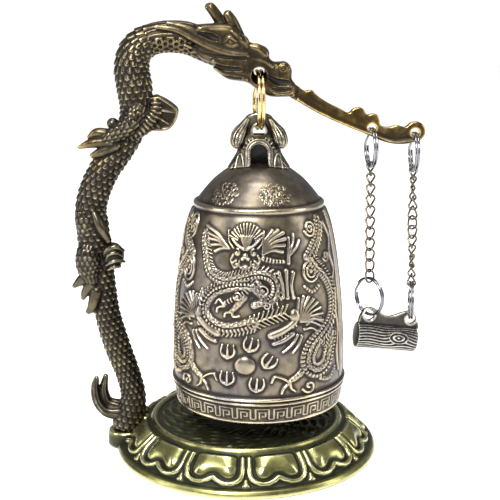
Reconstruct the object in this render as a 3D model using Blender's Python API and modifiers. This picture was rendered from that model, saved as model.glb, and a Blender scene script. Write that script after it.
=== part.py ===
"""Desk temple bell: a bell hung by a split ring from a cast dragon stand, with a chained striker.

Sizes and places are in millimetres and become metres through MM.  The origin is the centre
of the base's underside, +Z is up, the front faces -Y and the striker hangs towards +X.
"""
import math

import bmesh
import bpy
from mathutils import Matrix, Vector

MM = 0.001

# Base: a hollow lotus dais with a round boss for the stand at its left edge.
BASE_RADIUS = 37.0
BASE_WALL = 1.8
RIM_TOP = 2.3
PLATFORM_RADIUS = 27.2
PLATFORM_TOP = 8.8
BEAD_TOP = 9.7
PETAL_COUNT = 12
PETAL_TOP_RADIUS = 28.2
PETAL_END_RADIUS = 34.2
PETAL_MIDDLE_HEIGHT = 5.7
PETAL_HALF_SIZES = (6.6, 4.0, 1.4)
BOSS_X = -34.6
BOSS_RADIUS = 5.2
BOSS_TOP = 4.8
BOSS_BOTTOM = 0.2
SEAT_RADIUS = 5.0
COUNTERBORE_RADIUS = 3.5
COUNTERBORE_DEPTH = 2.6

# Stand screw and washer under the boss; crown screw and washer inside the bell.
SCREW_RADIUS = 1.4
SCREW_HOLE_RADIUS = 1.7
SCREW_HEAD_RADIUS = 2.7
SCREW_HEAD_HEIGHT = 1.4
WASHER_RADIUS = 3.1
WASHER_THICKNESS = 0.5
CLEARANCE = 0.3

# Stand.
FOOT_BOTTOM = BOSS_TOP + CLEARANCE
BODY_DEPTH_SCALE = 0.9
TONGUE_HALF_DEPTH = 1.1
JAW_HALF_DEPTH = 1.5
HEAD_HALF_DEPTH = 4.4
STAND_SCREW_TOP = 10.5

# Bell.
BELL_X = 3.5
LIP_BOTTOM = 15.0
SHOULDER = 71.1
BELL_TOP = 81.6
BELL_WALL = 1.8
CROWN_HOLE_HEIGHT = 90.4
CROWN_HOLE_RADIUS = 1.7
CROWN_BASE_HALF_DEPTH = 6.5
CROWN_NECK_HALF_DEPTH = 1.6
NICHE_HALF_WIDTH = 2.4
NICHE_TOP = 87.3
NICHE_WEB_HALF_DEPTH = 2.7
CROWN_SCREW_TOP = 86.8

# Bell ring: a split ring of two turns through the jaw and the crown.
JAW_HOLE_HEIGHT = 106.5
JAW_HOLE_RADIUS = 1.45
BELL_RING_TOP = 106.4
BELL_RING_BOTTOM = 91.1
BELL_RING_WIRE = 0.5
BELL_RING_YAW = 5.0

# Striker rings: four small split rings of two turns.
RING_RADIUS = 5.2
RING_WIRE = 0.33
RING_DROP_IN_HOLE = 0.15
TONGUE_HOLE_RADIUS = 1.2
LEFT_HOLE = (34.1, 91.2)
RIGHT_HOLE = (45.8, 90.0)
LEFT_EAR = (34.5, -1.0, 38.9)
RIGHT_EAR = (46.5, 0.9, 37.3)
EAR_HOLE_RADIUS = 1.3
TURN_SPACING = 1.09
CROSSING_DEGREES = 40.0

# Chains of twisted links.
LINK_WIRE = 0.29
LINK_END_RADIUS = 1.2
LINK_CENTRES = 1.26
LINK_END_STEPS = 4
LEFT_LINKS = 11
RIGHT_LINKS = 12

# Striker: a short log with a flange along its top.
STRIKER_HALF_LENGTH = 8.6
STRIKER_YAW = 9.0
STRIKER_TILT = 7.6
EAR_HOLE_HEIGHT = 6.0
FLANGE_HALF_DEPTH = 0.8

BRASS = (0.46, 0.43, 0.22)
DARK_BRONZE = (0.16, 0.13, 0.10)
WARM_NICKEL = (0.42, 0.38, 0.31)
ANTIQUE_SILVER = (0.38, 0.37, 0.34)
GOLD = (0.90, 0.72, 0.38)
NICKEL = (0.60, 0.60, 0.60)
DARK_NICKEL = (0.34, 0.30, 0.25)
IRON_GREY = (0.20, 0.19, 0.18)
STEEL = (0.55, 0.55, 0.56)


def clear_scene():
    for old in list(bpy.data.objects):
        bpy.data.objects.remove(old, do_unlink=True)


def new_collection(name):
    group = bpy.data.collections.new(name)
    bpy.context.scene.collection.children.link(group)
    return group


def new_material(name, colour, roughness, metallic=1.0):
    material = bpy.data.materials.new(name)
    material.use_nodes = True
    shader = material.node_tree.nodes["Principled BSDF"]
    shader.inputs["Base Color"].default_value = (*colour, 1.0)
    shader.inputs["Roughness"].default_value = roughness
    shader.inputs["Metallic"].default_value = metallic
    return material


def add_object(name, mesh, group, material=None):
    obj = bpy.data.objects.new(name, mesh)
    group.objects.link(obj)
    if material is not None:
        mesh.materials.append(material)
    return obj


def as_guide(obj):
    """Mark a cutter or a joined piece: it shapes other objects and isn't a part itself."""
    obj.hide_render = True
    obj.display_type = "WIRE"
    return obj


def boolean(target, other, operation):
    modifier = target.modifiers.new(f"{operation.lower()} {other.name}", "BOOLEAN")
    modifier.operation = operation
    modifier.solver = "EXACT"
    modifier.object = as_guide(other)


def cut(target, *cutters):
    for cutter in cutters:
        boolean(target, cutter, "DIFFERENCE")


def join(target, *others):
    for other in others:
        boolean(target, other, "UNION")


def turned(name, profile, group, steps=48, closed=False, material=None):
    """A turned shape about its own Z axis, from (radius, height) points run top to bottom."""
    mesh = bpy.data.meshes.new(name)
    corners = [(radius * MM, 0.0, height * MM) for radius, height in profile]
    edges = [(i, i + 1) for i in range(len(corners) - 1)]
    if closed:
        edges.append((len(corners) - 1, 0))
    mesh.from_pydata(corners, edges, [])
    obj = add_object(name, mesh, group, material)
    screw = obj.modifiers.new("turn", "SCREW")
    screw.axis = "Z"
    screw.steps = steps
    screw.render_steps = steps
    screw.use_merge_vertices = True
    screw.merge_threshold = 1e-6
    screw.use_smooth_shade = False
    return obj


def cylinder(name, radius, low, high, group, segments=24, top_radius=None):
    """An upright cylinder or cone from one height to another, about its own Z axis."""
    mesh = bpy.data.meshes.new(name)
    shape = bmesh.new()
    bmesh.ops.create_cone(
        shape,
        cap_ends=True,
        segments=segments,
        radius1=radius * MM,
        radius2=(radius if top_radius is None else top_radius) * MM,
        depth=(high - low) * MM,
        matrix=Matrix.Translation((0.0, 0.0, (low + high) / 2 * MM)),
    )
    shape.to_mesh(mesh)
    shape.free()
    return add_object(name, mesh, group)


def ellipsoid(name, centre, half_sizes, group, segments=12):
    """A ball stretched to three half sizes."""
    mesh = bpy.data.meshes.new(name)
    shape = bmesh.new()
    bmesh.ops.create_uvsphere(shape, u_segments=segments, v_segments=segments // 2 + 2, radius=MM)
    bmesh.ops.scale(shape, vec=half_sizes, verts=shape.verts)
    shape.to_mesh(mesh)
    shape.free()
    obj = add_object(name, mesh, group)
    obj.location = Vector(centre) * MM
    return obj


def box(name, low, high, group):
    mesh = bpy.data.meshes.new(name)
    shape = bmesh.new()
    low = Vector(low) * MM
    high = Vector(high) * MM
    size = high - low
    place = Matrix.Translation((low + high) / 2) @ Matrix.Diagonal((*size, 1.0))
    bmesh.ops.create_cube(shape, size=1.0, matrix=place)
    shape.to_mesh(mesh)
    shape.free()
    return add_object(name, mesh, group)


def curve_as_mesh(curve_object, group, material=None):
    """Replace a curve by the mesh it makes, with its caps welded."""
    bpy.context.view_layer.update()
    graph = bpy.context.evaluated_depsgraph_get()
    mesh = bpy.data.meshes.new_from_object(curve_object.evaluated_get(graph))
    shape = bmesh.new()
    shape.from_mesh(mesh)
    bmesh.ops.remove_doubles(shape, verts=shape.verts, dist=1e-7)
    shape.to_mesh(mesh)
    shape.free()
    name = curve_object.name
    place = curve_object.matrix_world.copy()
    curve = curve_object.data
    bpy.data.objects.remove(curve_object, do_unlink=True)
    bpy.data.curves.remove(curve)
    mesh.name = name
    mesh.materials.clear()
    obj = add_object(name, mesh, group, material)
    obj.matrix_world = place
    return obj


def tube(name, points, radii, group, material=None, resolution=2, cyclic=False):
    """A round bar along points, with one radius for all of them or one for each."""
    curve = bpy.data.curves.new(name, "CURVE")
    curve.dimensions = "3D"
    curve.bevel_depth = MM
    curve.bevel_resolution = resolution
    curve.use_fill_caps = not cyclic
    curve.render_resolution_u = 0
    spline = curve.splines.new("POLY")
    spline.points.add(len(points) - 1)
    spline.use_cyclic_u = cyclic
    if not isinstance(radii, (list, tuple)):
        radii = [radii] * len(points)
    for spot, point, radius in zip(spline.points, points, radii):
        spot.co = (*(Vector(point) * MM), 1.0)
        spot.radius = radius
    obj = bpy.data.objects.new(name, curve)
    group.objects.link(obj)
    return curve_as_mesh(obj, group, material)


def plate(name, outline, half_depth, group, material=None, facing="Y"):
    """A flat (across, up) outline made half_depth thick each way along Y or along X."""
    curve = bpy.data.curves.new(name, "CURVE")
    curve.dimensions = "2D"
    curve.fill_mode = "BOTH"
    curve.extrude = half_depth * MM
    curve.render_resolution_u = 0
    spline = curve.splines.new("POLY")
    spline.points.add(len(outline) - 1)
    spline.use_cyclic_u = True
    for spot, (across, up) in zip(spline.points, outline):
        spot.co = (across * MM, up * MM, 0.0, 1.0)
    obj = bpy.data.objects.new(name, curve)
    group.objects.link(obj)
    upright = Matrix.Rotation(math.radians(90), 4, "X")
    if facing == "X":
        upright = Matrix.Rotation(math.radians(90), 4, "Z") @ upright
    obj.matrix_world = upright
    return curve_as_mesh(obj, group, material)


def smooth_path(rows, steps):
    """Rows of three numbers joined by a smooth curve that passes through each row."""
    rows = [Vector(row) for row in rows]
    rows = [2 * rows[0] - rows[1]] + rows + [2 * rows[-1] - rows[-2]]
    path = []
    for i in range(1, len(rows) - 2):
        before, start, end, after = rows[i - 1:i + 3]
        for step in range(steps):
            t = step / steps
            slope = (end - before) * t
            bend = (2 * before - 5 * start + 4 * end - after) * t ** 2
            twist = (3 * start - before - 3 * end + after) * t ** 3
            path.append(0.5 * (2 * start + slope + bend + twist))
    path.append(rows[-2])
    return path


def hole_cutter(name, across, up, radius, half_depth, group, out=0.0, countersink=0.35):
    """A spool that cuts a hole along Y with both of its edges opened out."""
    beyond = 0.6
    wide = radius + countersink + beyond
    profile = [
        (0.0, half_depth + beyond),
        (wide, half_depth + beyond),
        (radius, half_depth - countersink),
        (radius, countersink - half_depth),
        (wide, -half_depth - beyond),
        (0.0, -half_depth - beyond),
    ]
    spool = turned(name, profile, group, steps=14)
    spool.location = Vector((across, out, up)) * MM
    spool.rotation_euler = (math.radians(90), 0.0, 0.0)
    return spool


def circle_point(centre_x, radius, degrees):
    angle = math.radians(degrees)
    return centre_x + radius * math.cos(angle), radius * math.sin(angle)


# ---------------------------------------------------------------- base


def make_petals(guides):
    """The swelling petals: flattened balls laid on the dais's slope, as guides to be joined."""
    middle = (PETAL_TOP_RADIUS + PETAL_END_RADIUS) / 2
    slope = math.atan2(PLATFORM_TOP - RIM_TOP - 0.8, PETAL_END_RADIUS - PETAL_TOP_RADIUS)
    petals = []
    for index in range(PETAL_COUNT):
        petal = ellipsoid(f"petal_{index + 1}", (0.0, 0.0, 0.0), PETAL_HALF_SIZES, guides)
        lay = Matrix.Rotation(slope, 4, "X")
        out = Matrix.Translation(Vector((0.0, -middle, PETAL_MIDDLE_HEIGHT)) * MM)
        turn = Matrix.Rotation(math.radians(360 / PETAL_COUNT * (index + 0.5)), 4, "Z")
        petal.data.transform(turn @ out @ lay)
        petals.append(petal)
    return petals


def make_base(parts, guides, material):
    """The dais is one hollow casting: rim, petals, platform with its bead, and the boss."""
    outside = [
        (0.0, PLATFORM_TOP),
        (PLATFORM_RADIUS - 1.7, PLATFORM_TOP),
        (PLATFORM_RADIUS - 1.3, BEAD_TOP - 0.2),
        (PLATFORM_RADIUS - 0.7, BEAD_TOP),
        (PLATFORM_RADIUS - 0.1, BEAD_TOP - 0.2),
        (PLATFORM_RADIUS + 0.4, PLATFORM_TOP - 0.2),
        (PETAL_TOP_RADIUS, PLATFORM_TOP - 0.5),
        ((PETAL_TOP_RADIUS + PETAL_END_RADIUS) / 2, 6.1),
        (PETAL_END_RADIUS, RIM_TOP + 0.5),
        (PETAL_END_RADIUS + 0.8, RIM_TOP),
        (BASE_RADIUS - 0.6, RIM_TOP - 0.4),
        (BASE_RADIUS, RIM_TOP - 1.1),
        (BASE_RADIUS, 0.5),
        (BASE_RADIUS - 0.4, 0.0),
    ]
    inside = [
        (BASE_RADIUS - 2.4, 0.0),
        (PETAL_END_RADIUS - 0.6, RIM_TOP - 1.4),
        (PETAL_TOP_RADIUS - 0.8, PLATFORM_TOP - BASE_WALL - 0.9),
        (PLATFORM_RADIUS - 1.6, PLATFORM_TOP - BASE_WALL),
        (0.0, PLATFORM_TOP - BASE_WALL),
    ]
    base = turned("base_dais", outside + inside, parts, steps=40, material=material)
    join(base, *make_petals(guides))
    boss = cylinder("boss", BOSS_RADIUS + 0.2, BOSS_BOTTOM, BOSS_TOP, guides, top_radius=BOSS_RADIUS)
    seat = cylinder("foot_seat", SEAT_RADIUS, BOSS_TOP, BOSS_TOP + 8.0, guides)
    hole = cylinder("boss_hole", SCREW_HOLE_RADIUS, -1.0, BOSS_TOP + 1.0, guides)
    bore = cylinder("counterbore", COUNTERBORE_RADIUS, -1.0, COUNTERBORE_DEPTH, guides)
    for guide in (boss, seat, hole, bore):
        guide.location.x = BOSS_X * MM
    join(base, boss)
    cut(base, seat, hole, bore)


def screw_profile(head_low, top, head_radius=SCREW_HEAD_RADIUS):
    """A pan-head screw, head down, from its axis round its outside and back to its axis."""
    head_top = head_low + SCREW_HEAD_HEIGHT
    return [
        (0.0, top),
        (SCREW_RADIUS - 0.3, top),
        (SCREW_RADIUS, top - 0.4),
        (SCREW_RADIUS, head_top),
        (head_radius, head_top),
        (head_radius, head_low + 0.5),
        (head_radius - 0.5, head_low),
        (0.9, head_low),
        (0.7, head_low + 0.8),
        (0.0, head_low + 0.8),
    ]


def washer_profile(low):
    high = low + WASHER_THICKNESS
    return [
        (SCREW_HOLE_RADIUS, high),
        (WASHER_RADIUS, high),
        (WASHER_RADIUS, low),
        (SCREW_HOLE_RADIUS, low),
    ]


def make_fasteners(parts, material):
    """One screw and washer hold the stand to the base; the others hold the crown to the bell."""
    stand_washer_low = COUNTERBORE_DEPTH - CLEARANCE / 2 - WASHER_THICKNESS
    crown_washer_low = BELL_TOP - BELL_WALL - CLEARANCE / 2 - WASHER_THICKNESS
    places = [
        ("stand", BOSS_X, stand_washer_low, STAND_SCREW_TOP - 0.5),
        ("crown", BELL_X, crown_washer_low, CROWN_SCREW_TOP - 0.5),
    ]
    for prefix, across, washer_low, screw_top in places:
        head_low = washer_low - CLEARANCE / 2 - SCREW_HEAD_HEIGHT
        screw = turned(f"{prefix}_screw", screw_profile(head_low, screw_top), parts, 12,
                       material=material)
        washer = turned(f"{prefix}_washer", washer_profile(washer_low), parts, 16, closed=True,
                        material=material)
        screw.location.x = across * MM
        washer.location.x = across * MM


# ---------------------------------------------------------------- stand

# The dragon's body from foot to neck: across, up, half width.
BODY_ROUTE = [
    (-34.3, FOOT_BOTTOM, 4.4), (-33.7, 8.0, 4.3), (-32.7, 12.0, 3.7), (-32.6, 16.1, 3.4),
    (-34.1, 22.1, 3.4), (-36.2, 28.1, 3.6), (-38.0, 34.1, 3.6), (-39.3, 39.9, 3.5),
    (-40.0, 45.8, 3.5), (-40.9, 51.5, 3.9), (-42.0, 58.0, 4.5), (-42.5, 64.0, 4.5),
    (-42.8, 69.0, 4.3), (-41.4, 74.4, 4.3), (-38.6, 80.0, 4.2), (-34.9, 85.2, 4.1),
    (-31.4, 90.4, 3.8), (-29.8, 96.0, 4.2), (-30.0, 102.0, 4.8), (-30.6, 107.0, 4.7),
    (-29.6, 111.4, 4.5), (-26.4, 114.2, 4.2), (-21.5, 115.4, 4.3), (-15.5, 115.0, 4.4),
    (-10.0, 112.6, 4.2), (-5.0, 110.2, 3.8),
]

# The skull and jaws seen from the front, clockwise from the neck's top.
HEAD_OUTLINE = [
    (-13.5, 119.0), (-9.0, 119.3), (-4.4, 119.2), (-2.2, 118.0), (-0.3, 115.6), (1.2, 114.2),
    (3.6, 113.8), (5.4, 113.0), (6.4, 111.6), (6.3, 110.2), (7.4, 109.2), (9.8, 109.3),
    (11.6, 108.6), (12.4, 106.8), (12.5, 104.2), (13.6, 102.4), (13.6, 99.8), (11.2, 99.4),
    (7.0, 99.4), (4.8, 100.2), (2.7, 101.6), (0.5, 103.2), (-2.1, 103.6), (-4.9, 104.0),
    (-7.4, 105.8), (-9.0, 108.0), (-13.0, 110.4),
]

# The tongue, a flat bar: its upper edge with three humps, then its lower edge back.
TONGUE_OUTLINE = [
    (11.0, 104.0), (13.8, 102.6), (15.6, 101.2), (17.6, 101.5), (19.2, 99.9), (22.1, 98.0),
    (25.4, 96.4), (27.6, 95.3), (28.8, 96.5), (30.4, 96.9), (31.8, 96.3), (32.6, 94.7),
    (34.2, 95.2), (35.9, 94.6), (36.5, 91.8), (38.6, 91.5), (40.8, 92.1), (43.0, 91.4),
    (44.6, 92.8), (46.6, 93.0), (48.2, 91.9), (48.7, 90.2), (48.1, 88.5), (46.6, 87.5),
    (41.9, 86.7), (37.5, 87.4), (32.9, 89.3), (27.9, 91.4), (23.0, 93.4), (19.1, 95.3),
    (14.5, 98.0), (10.5, 100.5),
]

# The right forepaw, pressed flat behind the neck.
PAW_OUTLINE = [
    (-25.5, 100.0), (-23.2, 99.8), (-18.8, 96.9), (-18.1, 95.4), (-19.5, 91.8), (-22.0, 90.4),
    (-25.5, 90.6), (-28.5, 92.0), (-28.5, 98.0),
]

# Bars that taper along their length: name, then across, out, up, radius for each point.
LIMBS = {
    "long_horn": [(-4.0, 0.0, 115.5, 1.7), (-7.0, 0.0, 119.8, 1.5), (-9.2, 0.0, 123.2, 1.2),
                  (-9.7, 0.0, 123.9, 0.9)],
    "short_horn": [(-2.0, -1.0, 115.0, 1.9), (-3.6, -1.2, 119.0, 1.5), (-4.8, -1.2, 121.7, 0.9)],
    "brow": [(-2.0, -3.4, 115.0, 1.6), (1.0, -3.6, 112.8, 1.6), (4.8, -3.4, 111.6, 1.4)],
    "nostril": [(9.4, -3.6, 107.2, 1.5), (10.6, -3.4, 107.2, 1.6)],
    "front_leg": [(-29.0, -2.0, 96.0, 3.0), (-31.0, -3.2, 92.5, 2.9), (-34.5, -3.4, 90.0, 2.5),
                  (-37.5, -3.2, 88.3, 2.2)],
    "front_knob": [(-33.6, -1.5, 90.0, 1.3), (-36.6, -1.5, 93.0, 1.3)],
    "front_claw_1": [(-36.0, -3.0, 89.6, 1.6), (-40.0, -3.0, 90.2, 1.3), (-42.3, -2.8, 88.9, 0.6)],
    "front_claw_2": [(-36.0, -3.6, 88.0, 1.6), (-41.5, -3.4, 87.4, 1.3), (-45.2, -3.0, 86.2, 0.5)],
    "front_claw_3": [(-35.0, -3.4, 86.6, 1.5), (-39.0, -3.2, 85.0, 1.4), (-41.8, -2.8, 83.8, 0.7)],
    "left_elbow": [(-44.0, -0.8, 70.0, 2.6), (-44.2, -1.4, 66.0, 3.0), (-43.6, -1.0, 61.0, 2.6)],
    "flame": [(-41.8, -3.0, 69.6, 0.5), (-40.0, -3.2, 65.0, 1.4), (-37.6, -3.0, 60.6, 1.2)],
    "hind_claw_1": [(-44.0, -2.0, 50.5, 2.2), (-46.2, -2.0, 48.8, 1.5), (-48.1, -1.8, 47.0, 0.8)],
    "hind_claw_2": [(-43.0, -2.2, 48.0, 2.0), (-44.8, -2.2, 45.6, 1.4), (-45.6, -2.0, 43.6, 0.7)],
    "hind_claw_3": [(-41.5, -2.4, 46.0, 2.0), (-42.8, -2.6, 41.5, 1.7), (-44.3, -2.4, 39.8, 1.1)],
    "tail_outer": [(-35.5, -0.4, 9.5, 2.6), (-40.0, -0.6, 10.0, 2.0), (-42.6, -0.6, 13.0, 1.7),
                   (-43.3, -0.6, 17.0, 1.4), (-42.8, -0.6, 20.0, 1.0)],
    "tail_inner": [(-36.5, 0.4, 11.0, 2.2), (-39.8, 0.4, 12.4, 1.7), (-41.0, 0.4, 16.0, 1.5),
                   (-40.3, 0.4, 20.6, 1.0)],
    "foot_claw": [(-31.5, 0.0, 9.5, 2.0), (-28.8, -0.2, 10.2, 1.3)],
}


def make_body(guides, parts, material):
    """The scaly body is a bar of changing width, a little flatter from front to back."""
    path = smooth_path(BODY_ROUTE, 2)
    points = [(across, 0.0, up) for across, up, half in path]
    radii = [half for across, up, half in path]
    body = tube("dragon_stand", points, radii, parts, material, resolution=3)
    body.data.transform(Matrix.Diagonal((1.0, BODY_DEPTH_SCALE, 1.0, 1.0)))
    return body


def make_stand(parts, guides, material):
    """The whole dragon, foot to tongue, is one casting with three holes for rings."""
    stand = make_body(guides, parts, material)
    head = plate("head", HEAD_OUTLINE, HEAD_HALF_DEPTH, guides)
    jaw_sides = []
    for side in (-1, 1):
        near = JAW_HALF_DEPTH * side
        far = (HEAD_HALF_DEPTH + 3.0) * side
        low = (BELL_X - 2.4, min(near, far), 98.0)
        high = (BELL_X + 2.4, max(near, far), JAW_HOLE_HEIGHT + 2.3)
        jaw_sides.append(box(f"ring_slot_{'front' if side < 0 else 'back'}", low, high, guides))
    tongue = plate("tongue", TONGUE_OUTLINE, TONGUE_HALF_DEPTH, guides)
    paw = plate("right_paw", PAW_OUTLINE, 2.4, guides)
    thigh = ellipsoid("thigh", (-43.2, -1.6, 54.4), (4.3, 3.4, 6.0), guides)
    knee = ellipsoid("knee", (-37.0, -1.8, 56.2), (3.5, 2.6, 3.9), guides)
    trim = box("foot_trim", (-45.0, -8.0, 0.0), (-25.0, 8.0, FOOT_BOTTOM), guides)
    limbs = []
    for name, rows in LIMBS.items():
        points = [row[:3] for row in rows]
        radii = [row[3] for row in rows]
        limbs.append(tube(name, points, radii, guides, resolution=2))
    cut(head, *jaw_sides)
    join(stand, head, tongue, paw, thigh, knee, *limbs)
    holes = [
        hole_cutter("jaw_hole", BELL_X, JAW_HOLE_HEIGHT, JAW_HOLE_RADIUS, JAW_HALF_DEPTH, guides),
        hole_cutter("left_hole", *LEFT_HOLE, TONGUE_HOLE_RADIUS, TONGUE_HALF_DEPTH, guides),
        hole_cutter("right_hole", *RIGHT_HOLE, TONGUE_HOLE_RADIUS, TONGUE_HALF_DEPTH, guides),
    ]
    thread = cylinder("stand_thread", SCREW_HOLE_RADIUS, 0.0, STAND_SCREW_TOP, guides)
    thread.location.x = BOSS_X * MM
    cut(stand, trim, thread, *holes)


# ---------------------------------------------------------------- bell

BELL_OUTSIDE = [
    (8.2, BELL_TOP - 1.0), (11.2, 78.3), (12.9, 76.9), (15.4, 74.2), (16.7, 72.2),
    (17.6, 71.7), (17.9, SHOULDER), (17.8, 70.3), (18.7, 68.6), (19.6, 65.8), (20.3, 63.0),
    (21.4, 57.2), (22.2, 51.5), (22.9, 45.0), (23.4, 38.0), (23.7, 30.0), (23.8, 23.0),
    (24.5, 22.4), (24.6, 21.0), (23.8, 20.4), (23.5, 18.5), (23.0, LIP_BOTTOM),
]


def bell_dome_offset(gap):
    """The dome's outside, moved out by a gap, from the axis to the shoulder."""
    dome = [(0.0, BELL_TOP + gap), (5.0, BELL_TOP + gap)]
    dome += [(radius + gap * 0.6, height + gap * 0.8) for radius, height in BELL_OUTSIDE[:5]]
    return dome


def make_bell(parts, material):
    """The bell is a turned shell, open at the lip, with a screw hole in its dome."""
    outside = [(SCREW_HOLE_RADIUS, BELL_TOP), (5.0, BELL_TOP)] + BELL_OUTSIDE
    inside = [(21.2, LIP_BOTTOM), (21.9, 22.0), (21.9, 30.0), (21.0, 45.0), (19.4, 57.0),
              (17.6, 66.0), (15.6, 71.0), (12.6, 75.0), (8.5, 78.2), (5.0, 79.8),
              (SCREW_HOLE_RADIUS, BELL_TOP - BELL_WALL)]
    bell = turned("bell_body", outside + inside, parts, 36, closed=True, material=material)
    bell.location.x = BELL_X * MM


def crown_outline():
    """The crown from the front: a looped top, two side lobes and a flared skirt."""
    right = [(1.6, 95.2), (3.0, 93.9), (4.0, 92.4), (4.0, 91.0), (5.1, 89.7), (7.0, 88.3),
             (7.9, 86.9), (7.5, 85.5), (6.8, 84.4), (7.8, 82.6), (9.0, 80.4), (9.3, 78.2),
             (9.3, 76.0)]
    left = [(-across, up) for across, up in reversed(right)]
    return right + left


def crown_side_outline():
    """The crown from the side: a thin neck for the ring, widening to the skirt."""
    neck = CROWN_NECK_HALF_DEPTH
    right = [(neck, 96.0), (neck, 90.0), (3.4, 88.6), (4.6, 86.0), (5.6, 82.0),
             (CROWN_BASE_HALF_DEPTH, 78.4), (CROWN_BASE_HALF_DEPTH, 76.0)]
    left = [(-out, up) for out, up in reversed(right)]
    return right + left


def niche_outline():
    """The arched niche in the crown's front and back."""
    arch = [circle_point(0.0, NICHE_HALF_WIDTH, degrees) for degrees in range(0, 181, 30)]
    spring_line = NICHE_TOP - NICHE_HALF_WIDTH
    outline = [(NICHE_HALF_WIDTH, 79.0)]
    outline += [(across, spring_line + up) for across, up in arch]
    outline.append((-NICHE_HALF_WIDTH, 79.0))
    return outline


def make_crown(parts, guides, material):
    """The crown is a small casting on the dome, with one hole for the bell ring."""
    crown = plate("bell_crown", crown_outline(), 9.0, parts, material)
    sides = plate("crown_sides", crown_side_outline(), 12.0, guides, facing="X")
    boolean(crown, sides, "INTERSECT")
    dome = turned("crown_seat", bell_dome_offset(CLEARANCE) + [(16.7, 60.0), (0.0, 60.0)],
                  guides, 40)
    hole = hole_cutter("crown_hole", 0.0, CROWN_HOLE_HEIGHT, CROWN_HOLE_RADIUS,
                       CROWN_NECK_HALF_DEPTH, guides)
    cutters = [dome, hole]
    for side in (-1, 1):
        niche = plate(f"niche_{'front' if side < 0 else 'back'}", niche_outline(), 4.0, guides)
        niche.data.transform(Matrix.Translation((0.0, 0.0, side * -(NICHE_WEB_HALF_DEPTH + 4.0) * MM)))
        cutters.append(niche)
    thread = cylinder("crown_thread", SCREW_HOLE_RADIUS, 70.0, CROWN_SCREW_TOP, guides, 20)
    cutters.append(thread)
    for obj in (crown, sides, *cutters):
        obj.location.x = BELL_X * MM
    cut(crown, *cutters)


# ---------------------------------------------------------------- rings, chains and striker


def split_ring_path(radius, spacing, steps):
    """Two turns side by side that cross over once, about the origin in the YZ plane."""
    crossing = CROSSING_DEGREES
    total = 720.0 - crossing
    path = []
    for i in range(2 * steps + 1):
        degrees = total * i / (2 * steps)
        across = (degrees - (360.0 - crossing)) / crossing
        side = min(max(across, 0.0), 1.0) - 0.5
        angle = math.radians(degrees + crossing)
        path.append((side * spacing, radius * math.cos(angle), radius * math.sin(angle)))
    return path


def split_ring(name, centre, radius, wire, yaw, steps, parts, material):
    """A split ring about a centre, turned by its yaw about Z from facing along X."""
    path = split_ring_path(radius, 2 * wire * TURN_SPACING, steps)
    ring = tube(name, path, wire, parts, material, resolution=1)
    ring.location = Vector(centre) * MM
    ring.rotation_euler.z = math.radians(yaw)


def top_ring_centre(hole):
    across, up = hole
    return (across, 0.0, up - RING_DROP_IN_HOLE - RING_RADIUS)


def bottom_ring_centre(ear):
    across, out, up = ear
    return (across, out, up + RING_DROP_IN_HOLE + RING_RADIUS)


def make_rings(parts, gold, nickel):
    middle = (BELL_RING_TOP + BELL_RING_BOTTOM) / 2
    radius = (BELL_RING_TOP - BELL_RING_BOTTOM) / 2
    split_ring("bell_ring", (BELL_X, 0.0, middle), radius, BELL_RING_WIRE, BELL_RING_YAW, 20,
               parts, gold)
    rings = [
        ("left_top_ring", top_ring_centre(LEFT_HOLE), 8.0),
        ("right_top_ring", top_ring_centre(RIGHT_HOLE), 2.0),
        ("left_bottom_ring", bottom_ring_centre(LEFT_EAR), 38.0),
        ("right_bottom_ring", bottom_ring_centre(RIGHT_EAR), -6.0),
    ]
    for name, centre, yaw in rings:
        split_ring(name, centre, RING_RADIUS, RING_WIRE, yaw, 17, parts, nickel)


def link_path(turn):
    """A long link whose lower end is turned a quarter further about Z than its upper end."""
    path = []
    half = LINK_CENTRES / 2
    reach = half + LINK_END_RADIUS
    for end in (1, -1):
        for step in range(LINK_END_STEPS + 1):
            angle = math.pi * step / LINK_END_STEPS
            across = end * LINK_END_RADIUS * math.cos(angle)
            up = end * (half + LINK_END_RADIUS * math.sin(angle))
            along = (reach - up) / (2 * reach)
            spin = math.radians(turn + 90 * along * along * (3 - 2 * along))
            path.append((across * math.cos(spin), across * math.sin(spin), up))
    return path


def chain(name, top, bottom, count, top_yaw, twist, parts, material):
    """Links along the line from one ring's wire to another's; each is a piece of its own."""
    top = Vector(top)
    bottom = Vector(bottom)
    along = (bottom - top).normalized()
    first = top + along * LINK_CENTRES / 2
    last = bottom - along * LINK_CENTRES / 2
    for index in range(count):
        centre = first.lerp(last, index / (count - 1))
        path = link_path(top_yaw + twist * index)
        link = tube(f"{name}_link_{index + 1:02d}", path, LINK_WIRE, parts, material,
                    resolution=1, cyclic=True)
        link.location = centre * MM


def make_chains(parts, material):
    """Each chain hangs from a top ring's lowest point to a bottom ring's highest."""
    drop = Vector((0.0, 0.0, RING_RADIUS))
    chains = [
        ("left", LEFT_HOLE, LEFT_EAR, LEFT_LINKS, 8.0, -6.0),
        ("right", RIGHT_HOLE, RIGHT_EAR, RIGHT_LINKS, 2.0, 23.8),
    ]
    for name, hole, ear, count, top_yaw, twist in chains:
        top = Vector(top_ring_centre(hole)) - drop
        bottom = Vector(bottom_ring_centre(ear)) + drop
        chain(name, top, bottom, count, top_yaw, twist, parts, material)


def striker_section():
    """The log's cross-section: a round body with a thin flange on top, in (out, up) points."""
    body_radius = 3.6
    section = []
    for degrees in range(-240, 61, 20):
        section.append(circle_point(0.0, body_radius, degrees))
    section.append((FLANGE_HALF_DEPTH + 0.9, 4.4))
    section.append((FLANGE_HALF_DEPTH, 5.6))
    section.append((FLANGE_HALF_DEPTH, 9.2))
    section.append((-FLANGE_HALF_DEPTH, 9.2))
    section.append((-FLANGE_HALF_DEPTH, 5.6))
    section.append((-FLANGE_HALF_DEPTH - 0.9, 4.4))
    return section


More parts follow.
